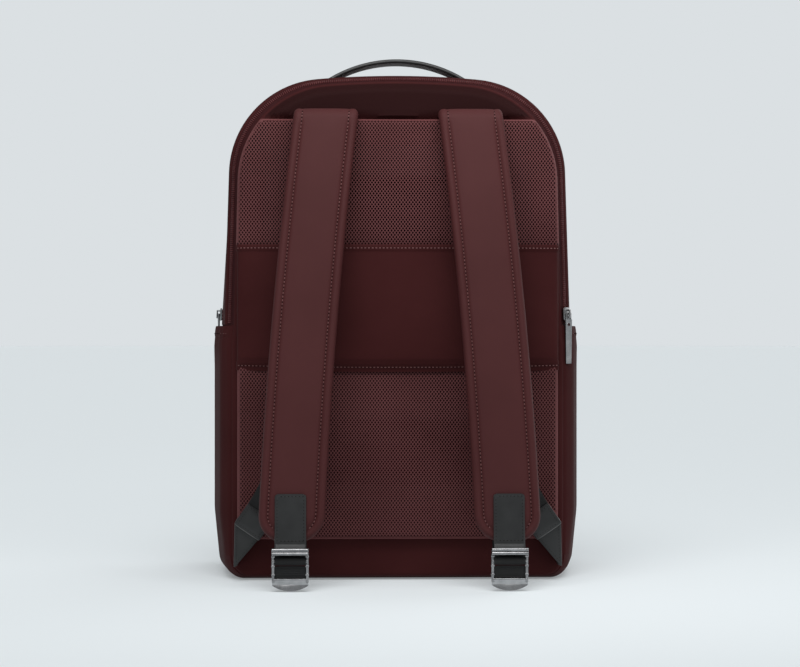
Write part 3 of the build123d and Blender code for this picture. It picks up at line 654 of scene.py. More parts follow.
sleeve_shares = np.concatenate([np.linspace(0, 0.06, 8)[:-1], np.linspace(0.06, 0.94, 90),
                                np.linspace(0.94, 1, 8)[1:]])
sleeve_rows = np.concatenate([np.linspace(174.4, 186, 12)[:-1], np.linspace(186, 271, 24),
                              [272.0, 272.6, 273.4, 275, 276.6, 277.5, 278.0]])
outer, inner = [], []
for z in sleeve_rows:
    hem = 0.7 * ease((z - 272.0) / 1.4) - 0.5 * ease(z - 277.0)
    low_hem = 0.6 * (1 - ease((z - 181.0) / 1.4))
    for target, inset in ((outer, -hem - low_hem), (inner, 1.5)):
        x, y = sleeve_point(sleeve_shares, z, inset)
        target.append(np.stack([x, y, z + sleeve_sag(x, z)], -1))
parts = [(*wall_between(outer, inner), "shell_fabric")]


def sleeve_line(z, lift):
    x, y = sleeve_point(np.linspace(0.05, 0.95, 240), z, -lift)
    return np.stack([x, y, z + sleeve_sag(x, z)], -1)


for z, lift in ((274.9, 0.7), (178.4, 0.6)):
    parts.extend(stitches(sleeve_line(z, lift), BACKWARD))
sleeve = sew("sleeve_pocket", parts)
settle(sleeve, "shell_fabric", "bag", ("pocket_sleeve",))

# ---------------------------------------------------------------- body shell

ABOVE_POCKETS = 212.0   # where the walls above the side pockets start
SEAM_START = 213.0      # where their seams and zipper teeth start
outer, inner = [], []
# Depth and how far the cloth stands out: a turned seam at each zipper, a soft swell between.
for y, lift in ((-62.0, -0.3), (-61.8, 0.5), (-60.6, 0.75), (-59.0, 0.75), (-58.0, 0.2), (-57.0, 0.0),
                (-50.0, 0.0), (-42.0, 0.2), (-34.0, 0.4), (-26.0, 0.4), (-18.0, 0.2), (-12.0, 0.0),
                (-9.6, 0.0), (-9.2, 0.6), (-7.6, 0.75), (-6.2, 0.5), (-6.0, -0.3)):
    outer.append(over_top(y, ABOVE_POCKETS, 300, -lift))
    inner.append(over_top(y, ABOVE_POCKETS, 300, 2.6))
parts = [(*wall_between(outer, inner), "shell_fabric")]
levels = np.linspace(20.0, ABOVE_POCKETS, 40)
for sign in (1, -1):
    outer, inner = [], []
    for y in (-69.0, -66.0, -60.0, -45.0, -30.0, -12.0, 0.0, 6.0):
        for target, inset in ((outer, 0.0), (inner, 2.6)):
            x = side_x(y, levels, inset)
            target.append(np.stack([sign * x, np.full_like(x, y), levels], -1))
    parts.append((*wall_between(outer, inner), "shell_fabric"))
for y in (-59.2, -9.0):
    parts.extend(stitches(over_top(y, SEAM_START, 500, -0.5), body_out(y)))
gusset = sew("middle_gusset_shell", parts)
settle(gusset, "shell_fabric", "bag", ("middle_gusset",))


def tape(name, y0, y1, replaces, **held):
    """A zipper's cloth tape over the bag, from depth y0 to y1."""
    depths = (y0, y0 * 0.9 + y1 * 0.1, (y0 + y1) / 2, y0 * 0.1 + y1 * 0.9, y1)
    outer = [over_top(y, ABOVE_POCKETS, 300, inset) for y, inset in zip(depths, (0.5, 0.35, 0.2, 0.35, 0.5))]
    inner = [over_top(y, ABOVE_POCKETS, 300, 1.5) for y in depths]
    settle(sew(name, [(*wall_between(outer, inner), "zip_fabric")]), "zip_fabric", replaces=replaces, **held)


def coil(name, y_middle, tooth, pitch, shift, replaces, inset=0.3, **held):
    """Rows of coil teeth over the bag, each tooth lying across the tape."""
    points, along = spaced(over_top(y_middle, SEAM_START, 900, inset), pitch, shift)
    facing = body_out(y_middle)(points)
    teeth = beads(points, np.cross(along, facing), facing, tooth, pitch * 0.74, 1.15)
    settle(sew(name, [(*teeth, "zip_coil")]), "zip_coil", replaces=replaces, **held)


flap_blend = ("bag", "flap", (0, 0, 0.200), (0, 0, 0.270))
tape("laptop_zip_tape_cloth", -69.0, -62.0, ("laptop_zip_tape",), body="bag")
coil("laptop_zip_teeth", -65.5, 3.8, 1.7, 0.0, ("laptop_zip_coil",), -0.1, body="bag")
tape("main_zip_tape_back_cloth", -6.0, -0.25, ("main_zip_tape_rear",), body="bag")
tape("main_zip_tape_front_cloth", 0.25, 6.0, ("main_zip_tape_front",), blend=flap_blend)
coil("main_zip_teeth_back", -1.5, 2.3, 1.7, 0.0, ("main_zip_coil_rear",), body="bag")
coil("main_zip_teeth_front", 1.5, 2.3, 1.7, 0.85, ("main_zip_coil_front",), blend=flap_blend)

# The front is one continuous padded wall: its sides, its crown and its face.
FACE_Y = 72.2        # depth of the face at its edge
FRONT_ZIP = 182.0    # height of the front pocket's zipper
FACE_TOP = 300.0     # the face's middle line ends here; above it the rows meet the crown
CROWN_COUNT = 120
WALL = 2.8           # thickness of the front and foot walls
front_levels = np.concatenate([np.linspace(20.0, 174.0, 40), np.linspace(175.5, 188.5, 27),
                               np.linspace(191.0, 318.0, 40)])
# Depth and how far the cloth stands out, from the zipper's seam to the rolled front edge.
front_edge = ((6.0, -0.3), (6.2, 0.5), (7.6, 0.75), (9.2, 0.6), (9.6, 0.0), (12.0, 0.0), (20.0, 0.3),
              (28.0, 0.4), (36.0, 0.4), (44.0, 0.2), (50.0, 0.0), (56.0, 0.0), (61.0, 0.0), (65.0, 0.1),
              (68.0, -0.1), (70.0, -0.7), (71.3, -1.8), (72.0, -3.4))


def front_bulge(x, z):
    """How far the face stands out: a soft swell, the zipper's sunken slot and the hood over it."""
    wide = np.clip(1 - (x / 141.0) ** 2, 0, 1)
    tall = np.clip(1 - ((z - 205.0) / 208.0) ** 2, 0, 1)
    slot = ease((109.0 - np.abs(x)) / 1.6) * ease(5.6 - np.abs(z - FRONT_ZIP))
    hood = ease((112.0 - np.abs(x)) / 2.0) * ease(z - 187.0) * ease((192.5 - z) / 3.0)
    return 4.2 * (wide * tall) ** 0.6 - 1.9 * slot + 0.9 * hood


front_shares = (0.012, 0.03, 0.055, 0.085, 0.12, 0.16, 0.2, 0.212, 0.222, 0.232, 0.245, 0.26, 0.3, 0.36,
                0.43, 0.5, 0.57, 0.64, 0.71, 0.78, 0.85, 0.92, 0.97, 1.0)
outer, inner = [], []
for y, lift in front_edge:
    outer.append(over_top_levels(y, front_levels, CROWN_COUNT, -lift))
    inner.append(over_top_levels(min(y, 69.0), front_levels, CROWN_COUNT, WALL + max(0.0, -lift)))
edge_out, edge_in = outer[-1], inner[-1]
for share in front_shares:
    for target, edge, back in ((outer, edge_out, 0.0), (inner, edge_in, WALL)):
        goal = np.minimum(edge[:, 2], FACE_TOP)
        x = edge[:, 0] * (1 - share)
        z = edge[:, 2] + (goal - edge[:, 2]) * share
        target.append(np.stack([x, FACE_Y + front_bulge(x, z) * ease(share / 0.1) - back, z], -1))
parts = [(*wall_between(outer, inner, True), "shell_fabric")]
parts.extend(stitches(over_top(9.0, SEAM_START, 500, -0.5), body_out(9.0)))
front_line = over_top_levels(FRONT_Y, np.linspace(26.0, 318.0, 60), CROWN_COUNT, 9.0)
front_line[:, 1] = FACE_Y + front_bulge(front_line[:, 0], front_line[:, 2]) + 0.1
parts.extend(stitches(front_line, FORWARD))
for z in (174.2, 189.6):
    x = np.linspace(-112.0, 112.0, 160)
    line = np.stack([x, FACE_Y + 0.05 + front_bulge(x, np.full_like(x, z)), np.full_like(x, z)], -1)
    parts.extend(stitches(line, FORWARD))
front_shell = sew("front_shell", parts)
settle(front_shell, "shell_fabric", replaces=("front_body", "front_crease", "front_flap"), blend=flap_blend)

# The foot: the bottom and the lowest part of the sides and face, up to the shells above.
FOOT_TOP = 20.0
foot_rows = [(y, 0.0) for y in (-69.0, -66.0, -60.0, -50.0, -36.0, -12.0, 0.0, 12.0, 31.0, 50.0, 58.0, 63.0)]
foot_rows += [(68.0, 0.1), (70.0, 0.7), (71.3, 1.8), (72.0, 3.4)]
outer, inner = [], []
for y, inset in foot_rows:
    outer.append(under_foot(y, FOOT_TOP, 260, inset, True))
    inner.append(under_foot(min(y, 69.0), FOOT_TOP, 260, inset + WALL, True))
edge_out, edge_in = outer[-1], inner[-1]
for share in (0.25, 0.6, 1.0):
    for target, edge, back in ((outer, edge_out, 0.0), (inner, edge_in, WALL)):
        z = edge[:, 2] + (FOOT_TOP - edge[:, 2]) * share
        target.append(np.stack([edge[:, 0], np.full(len(edge), 72.3 + 0.6 * share - back), z], -1))
foot_shell = sew("foot_shell", [(*wall_between(outer, inner), "shell_fabric")])
settle(foot_shell, "shell_fabric", "bag", ("bottom_panel",))

# ---------------------------------------------------------------- side pockets

POCKET_STITCH = 204.6
pocket_levels = np.concatenate([np.linspace(20.0, 198.0, 44),
                                [201.0, 202.0, 202.6, 203.4, 205.5, 208.5, 210.2, 211.0]])
pocket_depths = np.concatenate([[-69.5], np.linspace(-68.5, 59.0, 62), [60.0]])
for side, sign in (("left", -1), ("right", 1)):
    outer, inner = [], []
    for y in pocket_depths:
        sewn = y in (pocket_depths[0], pocket_depths[-1])  # at its two ends the cloth is sewn to the body
        gather = 0.0 if sewn else 0.45 * np.sin(y * 1.1) * ease((pocket_levels - 170.0) / 35.0)
        hem = 0.45 * ease((pocket_levels - 202.0) / 1.2) - 0.4 * ease((pocket_levels - 209.6) / 1.4)
        for target, inset, share in ((outer, 0.0, 1), (inner, 1.8, 0.3)):
            x = side_x(y, pocket_levels, inset + 0.8 * sewn, not sewn) + (gather + hem) * share
            target.append(np.stack([sign * x, np.full_like(x, y), pocket_levels], -1))
    parts = [(*wall_between(outer, inner), "shell_fabric")]
    line = [(sign * (side_x(y, POCKET_STITCH, 0.0, True) + 0.4 + 0.42 * math.sin(y * 1.1)), y, POCKET_STITCH)
            for y in np.linspace(-66.0, 57.0, 130)]
    parts.extend(stitches(line, (sign, 0, 0)))
    pocket = sew(f"side_pocket_cloth_{side}", parts)
    settle(pocket, "shell_fabric", "bag", (f"side_pocket_{side}",))

# ---------------------------------------------------------------- front zipper

x = np.linspace(-108.0, 108.0, 60)
outer = np.array([np.stack([x, np.full_like(x, y), np.full_like(x, FRONT_ZIP + z)], -1)
                  for y, z in ((71.4, -5.0), (71.6, -2.5), (71.6, 2.5), (71.4, 5.0))])
inner = outer - (0, 1.2, 0)
front_tape = sew("front_zip_tape_cloth", [(*wall_between(outer, inner), "zip_fabric")])
settle(front_tape, "zip_fabric", "bag", ("front_zip_tape",))
parts = []
for z, shift in ((FRONT_ZIP - 1.25, 0.0), (FRONT_ZIP + 1.25, 0.8)):
    line = np.stack([np.linspace(-107.0, 107.0, 50), np.full(50, 71.9), np.full(50, z)], -1)
    points, along = spaced(line, 1.7, shift)
    teeth = beads(points, rows_of(UP, len(points)), rows_of(FORWARD, len(points)), 2.3, 1.25, 1.1)
    parts.append((*teeth, "zip_coil"))
front_zip_coil = sew("front_zip_teeth", parts)
settle(front_zip_coil, "zip_coil", "bag", ("front_zip_coil",))

# ---------------------------------------------------------------- straps

STRAP_HALF = 26.5     # half the strap's width
STRAP_ROUND = 22.0    # rounding of its lower corners
STRAP_FOOT = 38.0     # height of its lower end
STRAP_TOP = 380.0     # height where it starts to fold over to the yoke seam
FOLD = 5.6            # radius of that fold
STITCH_IN = 19.1      # the topstitching's distance from the middle line
TOP_RUN = STRAP_TOP - STRAP_FOOT


def through(points, z):
    """The smooth curve through three (value, height) points."""
    (a, za), (b, zb), (c, zc) = points
    return (a * (z - zb) * (z - zc) / ((za - zb) * (za - zc))
            + b * (z - za) * (z - zc) / ((zb - za) * (zb - zc))
            + c * (z - za) * (z - zb) / ((zc - za) * (zc - zb)))


def strap_x(z):
    return through(((58.0, 396.0), (76.5, 212.0), (87.0, 38.0)), z)


def strap_y(z):
    return through(((-91.0, 386.0), (-117.0, 212.0), (-139.0, 0.0)), z)


def strap_edge_distance(x, z):
    """Distance inside the strap's outline, for x from its middle line."""
    x = np.abs(x)
    side = STRAP_HALF - x
    low = STRAP_FOOT + STRAP_ROUND
    corner = STRAP_ROUND - np.hypot(np.clip(x - (STRAP_HALF - STRAP_ROUND), 0, None),
                                    np.clip(low - z, 0, None))
    return np.where(z < low, np.minimum(corner, side), side)


def strap_half_width(z):
    drop = np.clip(STRAP_FOOT + STRAP_ROUND - z, 0, STRAP_ROUND)
    return STRAP_HALF - STRAP_ROUND + np.sqrt(np.clip(STRAP_ROUND ** 2 - drop ** 2, 0, None))


def strap_front_height(d, groove_share=1.0):
    """Height of the strap's face: a rolled edge, the groove of the topstitching, a soft crown."""
    roll = np.sqrt(np.clip(1 - (1 - np.clip(d / 4.2, 0, 1)) ** 2, 0, 1))
    groove = 1.5 * np.exp(-((d - 7.4) / 1.35) ** 2)
    dip = 0.5 * ease((d - 3.0) / 4.0)
    crown = 0.9 * ease((d - 8.5) / 9.0)
    return 5.0 * roll - (groove + dip) * groove_share + crown * groove_share


def strap_back_height(d):
    return 4.6 * np.sqrt(np.clip(1 - (1 - np.clip(d / 3.6, 0, 1)) ** 2, 0, 1))


def strap_frame(s):
    """Height, depth and direction of the strap at s: from its foot up, over the fold and in to the seam."""
    if s <= TOP_RUN:
        z = STRAP_FOOT + s
        return z, strap_y(z), unit((0, (strap_y(z + 1) - strap_y(z - 1)) / 2, 1))
    s -= TOP_RUN
    tilt = math.atan((strap_y(STRAP_TOP + 1) - strap_y(STRAP_TOP - 1)) / 2)
    turn = math.pi / 2 - tilt
    centre_y = strap_y(STRAP_TOP) + FOLD * math.cos(tilt)
    centre_z = STRAP_TOP - FOLD * math.sin(tilt)
    if s < FOLD * turn:
        angle = tilt + s / FOLD
        return (centre_z + FOLD * math.sin(angle), centre_y - FOLD * math.cos(angle),
                unit((0, math.sin(angle), math.cos(angle))))
    return centre_z + FOLD, centre_y + s - FOLD * turn, np.array(FORWARD)


foot_steps = STRAP_ROUND * (1 - np.cos(np.linspace(0, math.pi / 2, 18)))
strap_steps = np.concatenate([foot_steps, np.linspace(24.0, TOP_RUN, 90), TOP_RUN + np.linspace(0.8, 8.2, 10),
                              TOP_RUN + np.linspace(9.2, 24.0, 9)])
edge_marks = np.array([0, .25, .7, 1.3, 2.1, 3.1, 4.2, 5.3, 6.1, 6.8, 7.4, 8.0, 8.7, 9.6,
                       11, 13, 16, 20, 23.5])
across_shares = np.concatenate([edge_marks - STRAP_HALF, [0.0], (STRAP_HALF - edge_marks)[::-1]]) / STRAP_HALF


def strap_surface(sign, across, s, front):
    """Points of the strap's face or back; across is from its middle line."""
    z, y, tangent = strap_frame(s)
    d = strap_edge_distance(across, z if s < TOP_RUN else 200.0)
    thin = 1.0 - 0.25 * float(ease((s - TOP_RUN - 6.0) / 8.0))
    facing = np.array((0.0, -tangent[2], tangent[1]))
    calm = 1.0 - 0.8 * float(ease((s - TOP_RUN + 8.0) / 9.0))
    height = strap_front_height(d, calm) if front else -strap_back_height(d)
    if not front and s > TOP_RUN:
        height = height * (1.0 - 0.5 * float(ease((s - TOP_RUN) / 6.0)))
    x = sign * strap_x(min(z, 386.0)) + across
    return np.stack([x, y + facing[1] * height * thin, z + facing[2] * height * thin], -1)


def strap_facing(points):
    slope = (strap_y(points[:, 2] + 1) - strap_y(points[:, 2] - 1)) / 2
    return unit(np.stack([np.zeros(len(points)), -np.ones(len(points)), slope], -1))


for side, sign in (("left", -1), ("right", 1)):
    front, back = [], []
    for s in strap_steps:
        z = strap_frame(s)[0]
        half = float(strap_half_width(z)) if s < TOP_RUN else STRAP_HALF
        across = across_shares * half
        front.append(strap_surface(sign, across, s, True))
        back.append(strap_surface(sign, across, s, False))
    parts = [(*wall_between(front, back), "strap_fabric")]
    for edge in (-1, 1):
        bend = [(4.5 + 14.6 * math.cos(a), STRAP_ROUND - 14.6 * math.sin(a))
                for a in np.linspace(0.95, 0.03, 24)]
        run = [(STITCH_IN, s) for s in np.linspace(STRAP_ROUND, TOP_RUN + 4.0, 300)]
        line = [strap_surface(sign, np.array([edge * across]), s, True)[0] for across, s in bend + run]
        parts.extend(stitches(line, strap_facing, 3.0, 1.7, 1.0, 0.75))
    strap = sew(f"padded_strap_{side}", parts)
    settle(strap, "shell_fabric", blend=("bag", f"strap_{side}", (0, 0, 0.392), (0, 0, 0.378)),
           replaces=(f"strap_face_{side}", f"strap_foam_{side}", f"strap_lining_{side}",
                     f"strap_anchor_{side}"))

# ---------------------------------------------------------------- leather tabs, webbing and wings

def leather_plate(corners, thickness_dir, thickness, rounding=2.0, steps=5):
    """A flat leather plate from its corners, with rounded corners and slightly rolled faces."""
    corners = [np.asarray(c, float) for c in corners]
    loop = []
    for k, corner in enumerate(corners):
        before, after = corners[k - 1], corners[(k + 1) % len(corners)]
        a, b = unit(before - corner), unit(after - corner)
        reach = min(rounding, np.linalg.norm(before - corner) / 2.2, np.linalg.norm(after - corner) / 2.2)
        for t in np.linspace(0, 1, steps):
            p = corner + a * reach * (1 - t) ** 2 + b * reach * t ** 2
            loop.append(p)
    loop = np.array(loop)
    middle = loop.mean(0)
    out = unit(thickness_dir)
    rows = []
    for share, height in ((0.02, 0.0), (0.97, 0.0), (1.0, 0.25), (1.0, 0.72), (0.985, 0.92), (0.955, 1.0),
                          (0.5, 1.02), (0.02, 1.02)):
        rows.append(middle + (loop - middle) * share + out * thickness * height)
    return closed_rows(rows)


def sweep_strip(line, across, out, width, thickness):
    """A flat strip along a line, rounded at its edges; across and out are directions at each point."""
    w, t = width / 2, thickness / 2
    loop = [(-w, 0.0), (-w + 0.2 * t, 0.6 * t), (-w + 0.7 * t, t)]
    loop += [(k, t) for k in np.linspace(-w + 1.6, w - 1.6, 9)]
    loop += [(w - 0.7 * t, t), (w - 0.2 * t, 0.6 * t), (w, 0.0), (w - 0.2 * t, -0.6 * t), (w - 0.7 * t, -t)]
    loop += [(k, -t) for k in np.linspace(w - 1.6, -w + 1.6, 9)]
    loop += [(-w + 0.7 * t, -t), (-w + 0.2 * t, -0.6 * t)]
    loop = np.array(loop)
    return closed_rows([p + a * loop[:, :1] + o * loop[:, 1:] for p, a, o in zip(line, across, out)])


def smooth_line(points, count):
    """A smooth line through the given points."""
    points = np.asarray(points, float)
    padded = np.concatenate([[2 * points[0] - points[1]], points, [2 * points[-1] - points[-2]]])
    out = []
    for k in range(1, len(padded) - 2):
        p0, p1, p2, p3 = padded[k - 1:k + 3]
        for t in np.linspace(0, 1, 12, endpoint=False):
            out.append(0.5 * (2 * p1 + (p2 - p0) * t + (2 * p0 - 5 * p1 + 4 * p2 - p3) * t ** 2
                              + (3 * p1 - p0 - 3 * p2 + p3) * t ** 3))
    out.append(points[-1])
    return resample(np.array(out), count)


def leather_stitches(points, toward, gap, length, width=0.55, lift=0.22, leave=0.5):
    """Dark stitches on leather."""
    return stitches(points, toward, gap, length, width, lift, "dark_thread", leave)


BAR_Y, BAR_Z, SECOND_Z = -146.0, 32.15, 24.2    # the buckle's two bars
WEB_WIDTH = 25.0                                # width of the webbing and of the tab
PATCH_X = 118.9
# Share of the way to the buckle, stand-off from the back, rise over the patch, and lean in degrees.
WEB_ROUTE = ((-0.14, 0.0, -6.6, 34.4), (0.22, 0.0, 10.3, 34.4), (0.44, 3.5, 22.0, 31.0),
             (0.66, 11.0, 37.0, 22.0), (0.86, 22.0, 45.0, 10.0), (0.98, 33.0, 38.0, 2.0),
             (1.0, 39.5, 14.0, 0.0), (1.0, 43.0, -12.0, 0.0), (1.0, 56.0, -26.5, 0.0))

for side, sign in (("left", -1), ("right", 1)):
    cx = sign * BUCKLE_X
    # The tab lies on the strap's face and goes round the buckle's top bar.
    heights = np.linspace(77.0, 37.5, 26)
    face = np.array([(cx, strap_y(z) - 6.7, z) for z in heights])
    loop = [(cx, BAR_Y - 3.1 * math.cos(a), BAR_Z + 3.1 * math.sin(a))
            for a in np.linspace(2.3, 2.3 + 1.55 * math.pi, 26)]
    line = resample(np.concatenate([face, np.array(loop)]), 70)
    along = unit(np.gradient(line, axis=0))
    across = rows_of(RIGHT, len(line))
    out = np.cross(along, across)
    verts, faces = sweep_strip(line, across, out, WEB_WIDTH, 1.5)
    shape = verts.reshape(len(line), -1, 3)
    for row in range(6):
        drop = 77.0 - shape[row, :, 2].mean()
        if drop < 2.5:
            narrow = 2.5 - math.sqrt(max(0.0, 2.5 ** 2 - (2.5 - drop) ** 2))
            shape[row, :, 0] = cx + (shape[row, :, 0] - cx) * (12.5 - narrow) / 12.5
    parts = [(shape.reshape(-1, 3), faces, "black_leather")]
    for start, end in (((-10.6, 75.0), (10.6, 75.0)), ((-10.6, 75.0), (-10.6, 40.0)),
                       ((10.6, 75.0), (10.6, 40.0)), ((-10.6, 40.0), (10.6, 40.0))):
        seam = np.array([(cx + x, strap_y(z) - 7.5, z) for x, z in np.linspace(start, end, 20)])
        parts.extend(leather_stitches(seam, (0, -1, -0.1), 2.6, 1.7, 0.6, 0.3))
    tab = sew(f"strap_tab_leather_{side}", parts)
    settle(tab, "black_leather", f"strap_{side}", (f"strap_tab_{side}",))

    # The wing in the corner seam and the leather patch over the webbing's end.
    corners = [(sign * x, -82.0, z)
               for x, z in ((135.5, 11.0), (134.6, 50.0), (128.0, 57.5), (109.5, 43.5), (115.0, 35.0))]
    root = [(sign * 134.6, y, z) for y, z in ((-72.2, 13.0), (-72.2, 49.0), (-83.0, 49.0), (-83.0, 13.0))]
    parts = [(*leather_plate(corners, BACKWARD, 2.0, 3.0), "black_leather"),
             (*leather_plate(root, (-sign, 0, 0), 2.2, 1.0), "black_leather")]
    mid = np.array([(c[0], -84.05, c[2]) for c in corners])
    inside = mid.mean(0) + (mid - mid.mean(0)) * 0.80
    for a, b in ((0, 1), (1, 2), (2, 3), (4, 0)):
        seam = np.linspace(inside[a], inside[b], 12)
        parts.extend(leather_stitches(seam, BACKWARD, 2.4, 1.5, 0.5, leave=0.4))
    wing = sew(f"corner_wing_leather_{side}", parts)
    settle(wing, "black_leather", "bag", (f"wing_{side}",))

    slope = math.radians(55.6)
    middle = np.array([sign * PATCH_X, -85.8, 49.7])
    run = np.array([-sign * math.cos(slope), 0.0, math.sin(slope)])
    wide = np.array([sign * math.sin(slope), 0.0, math.cos(slope)])
    corners = [middle + run * a * 10.0 + wide * b * 12.5 for a, b in ((-1, -1), (-1, 1), (1, 1), (1, -1))]
    parts = [(*leather_plate(corners, BACKWARD, 2.0, 1.6), "black_leather")]
    edge = [corners[0] + (0, -1.1, 0), corners[1] + (0, -1.1, 0)]
    cut = beads(np.array([(edge[0] + edge[1]) / 2 - run * 0.05]), np.array([edge[1] - edge[0]]),
                np.array([(-run[0], -1.2, -run[2])]), 24.2, 1.5, 0.5)
    parts.append((*cut, "leather_edge"))
    flat = np.array([c + (0, -2.05, 0) for c in corners])
    inside = flat.mean(0) + (flat - flat.mean(0)) * 0.80
    for a in range(4):
        seam = np.linspace(inside[a], inside[(a + 1) % 4], 12)
        parts.extend(leather_stitches(seam, BACKWARD, 2.2, 1.4, leave=0.3))
    patch = sew(f"webbing_patch_leather_{side}", parts)
    settle(patch, "black_leather", "bag", (f"webbing_patch_{side}",))

    # The webbing leaves the patch, rises behind the strap and turns down to the buckle.
    px = sign * PATCH_X
    knots = np.array([(px + share * (cx - px), -84.9 - out_by, 49.7 + up, lean)
                      for share, out_by, up, lean in WEB_ROUTE])
    route = smooth_line(knots, 120)
    line, lean = route[:, :3], np.radians(route[:, 3])
    across = np.stack([np.cos(lean), np.zeros(len(lean)), sign * np.sin(lean)], -1)
    along = unit(np.gradient(line, axis=0))
    across = unit(across - along * (across * along).sum(1)[:, None])
    out = np.cross(along, across)
    parts = [(*sweep_strip(line, across, out, WEB_WIDTH, 1.6), "black_webbing")]
    fine = resample(np.concatenate([line, across, out], 1), 170)
    for facing in (1, -1):
        away = facing * fine[:, 6:9]
        ribs = beads(fine[:, :3] + away * 0.78, fine[:, 3:6], away, RIB_LENGTH, 1.05, 0.3)
        parts.append((*ribs, "black_webbing"))
    webbing = sew(f"lower_webbing_strap_{side}", parts)
    settle(webbing, "black_webbing", blend=("bag", f"strap_{side}", (0, -0.089, 0), (0, -0.124, 0)),
           replaces=(f"lower_webbing_{side}",))

# ---------------------------------------------------------------- handle

chord, rise = 66.0, 24.0 - 1.75
arch = (chord ** 2 + rise ** 2) / (2 * rise)
swing = math.asin(chord / arch)
handle_line = np.array([(arch * math.sin(a), -34.0, CROWN_Z + rise - arch + arch * math.cos(a))
                        for a in np.linspace(-swing, swing, 90)])
along = unit(np.gradient(handle_line, axis=0))
across = rows_of(FORWARD, len(handle_line))
out = np.cross(along, across)
out *= np.sign(out[:, 2:])
parts = [(*sweep_strip(handle_line, across, out, 22.0, 3.3), "black_leather")]
for y in (-9.0, 9.0):
    parts.extend(leather_stitches(handle_line + across * y + out * 1.65, UP, 3.0, 1.9, 0.6, 0.25, 9.0))
handle = sew("top_handle_leather", parts)
settle(handle, "black_leather", blend=("bag", "handle", (0, 0, 0.420), (0, 0, 0.430)),
       replaces=("handle_ends", "handle_grip"))

# ---------------------------------------------------------------- metal fittings

def edit(piece, choose=None, mode="FACE"):
    """Open a piece in edit mode with only the chosen faces selected."""
    bpy.ops.object.select_all(action="DESELECT")
    piece.select_set(True)
    bpy.context.view_layer.objects.active = piece
    bpy.ops.object.mode_set(mode="EDIT")
    bpy.ops.mesh.select_mode(type=mode)
    bpy.ops.mesh.select_all(action="DESELECT")
    if choose:
        shape = bmesh.from_edit_mesh(piece.data)
        for face in shape.faces:
            face.select_set(bool(choose(face)))
        bmesh.update_edit_mesh(piece.data)


def done():
    """Leave edit mode."""
    bpy.ops.object.mode_set(mode="OBJECT")
    bpy.ops.object.select_all(action="DESELECT")


def on_faces(piece, choose, operation, **values):
    """One edit-mode operation on the chosen faces."""
    edit(piece, choose)
    operation(**values)
    done()


def block(size, place, round_by=0.25, segments=3):
    bpy.ops.mesh.primitive_cube_add(size=1.0, location=[c * MM for c in place])
    piece = bpy.context.object
    piece.scale = [s * MM for s in size]
    bpy.ops.object.transform_apply(location=True, rotation=False, scale=True)
    round_edges(piece, round_by, segments)
    return piece


def round_edges(piece, round_by, segments=3, angle=40):
    """Bevel the edges sharper than the angle."""
    if round_by <= 0:
        return
    bpy.context.view_layer.objects.active = piece
    piece.select_set(True)
    bevel = piece.modifiers.new("Rounded edges", "BEVEL")
    bevel.width = round_by * MM
    bevel.segments = segments
    bevel.limit_method = "ANGLE"
    bevel.angle_limit = math.radians(angle)
    bpy.ops.object.modifier_apply(modifier=bevel.name)


def rod(radius, length, place, axis="X", vertices=32, round_by=0.0):
    turn = {"X": (0, math.pi / 2, 0), "Y": (math.pi / 2, 0, 0), "Z": (0, 0, 0)}[axis]
    bpy.ops.mesh.primitive_cylinder_add(vertices=vertices, radius=radius * MM, depth=length * MM,
                                        location=[c * MM for c in place], rotation=turn)
    piece = bpy.context.object
    bpy.ops.object.transform_apply(location=True, rotation=True, scale=True)
    round_edges(piece, round_by, 3)
    return piece


def ring_of(radius, tube, place):
    bpy.ops.mesh.primitive_torus_add(major_radius=radius * MM, minor_radius=tube * MM, major_segments=48,
                                     minor_segments=14, location=[c * MM for c in place])
    piece = bpy.context.object
    bpy.ops.object.transform_apply(location=True, rotation=True, scale=True)
    return piece


def fuse(name, pieces, finish, placing=None, angle=35):
    """Join the parts of one fitting into one piece, each part with its own finish or the given one, and put
    it in its place.
    """
    for piece in pieces:
        piece.data.materials.clear()
        piece.data.materials.append(finishes[piece.get("finish", finish)])
    bpy.ops.object.select_all(action="DESELECT")
    for piece in pieces:
        piece.select_set(True)
    bpy.context.view_layer.objects.active = pieces[0]
    if len(pieces) > 1:
        bpy.ops.object.join()
    whole = bpy.context.view_layer.objects.active
    whole.name = name
    whole.data.name = name
    on_faces(whole, lambda f: True, bpy.ops.mesh.normals_make_consistent, inside=False)
    if placing is not None:
        whole.data.transform(placing)
    smooth(whole, angle)
    return whole


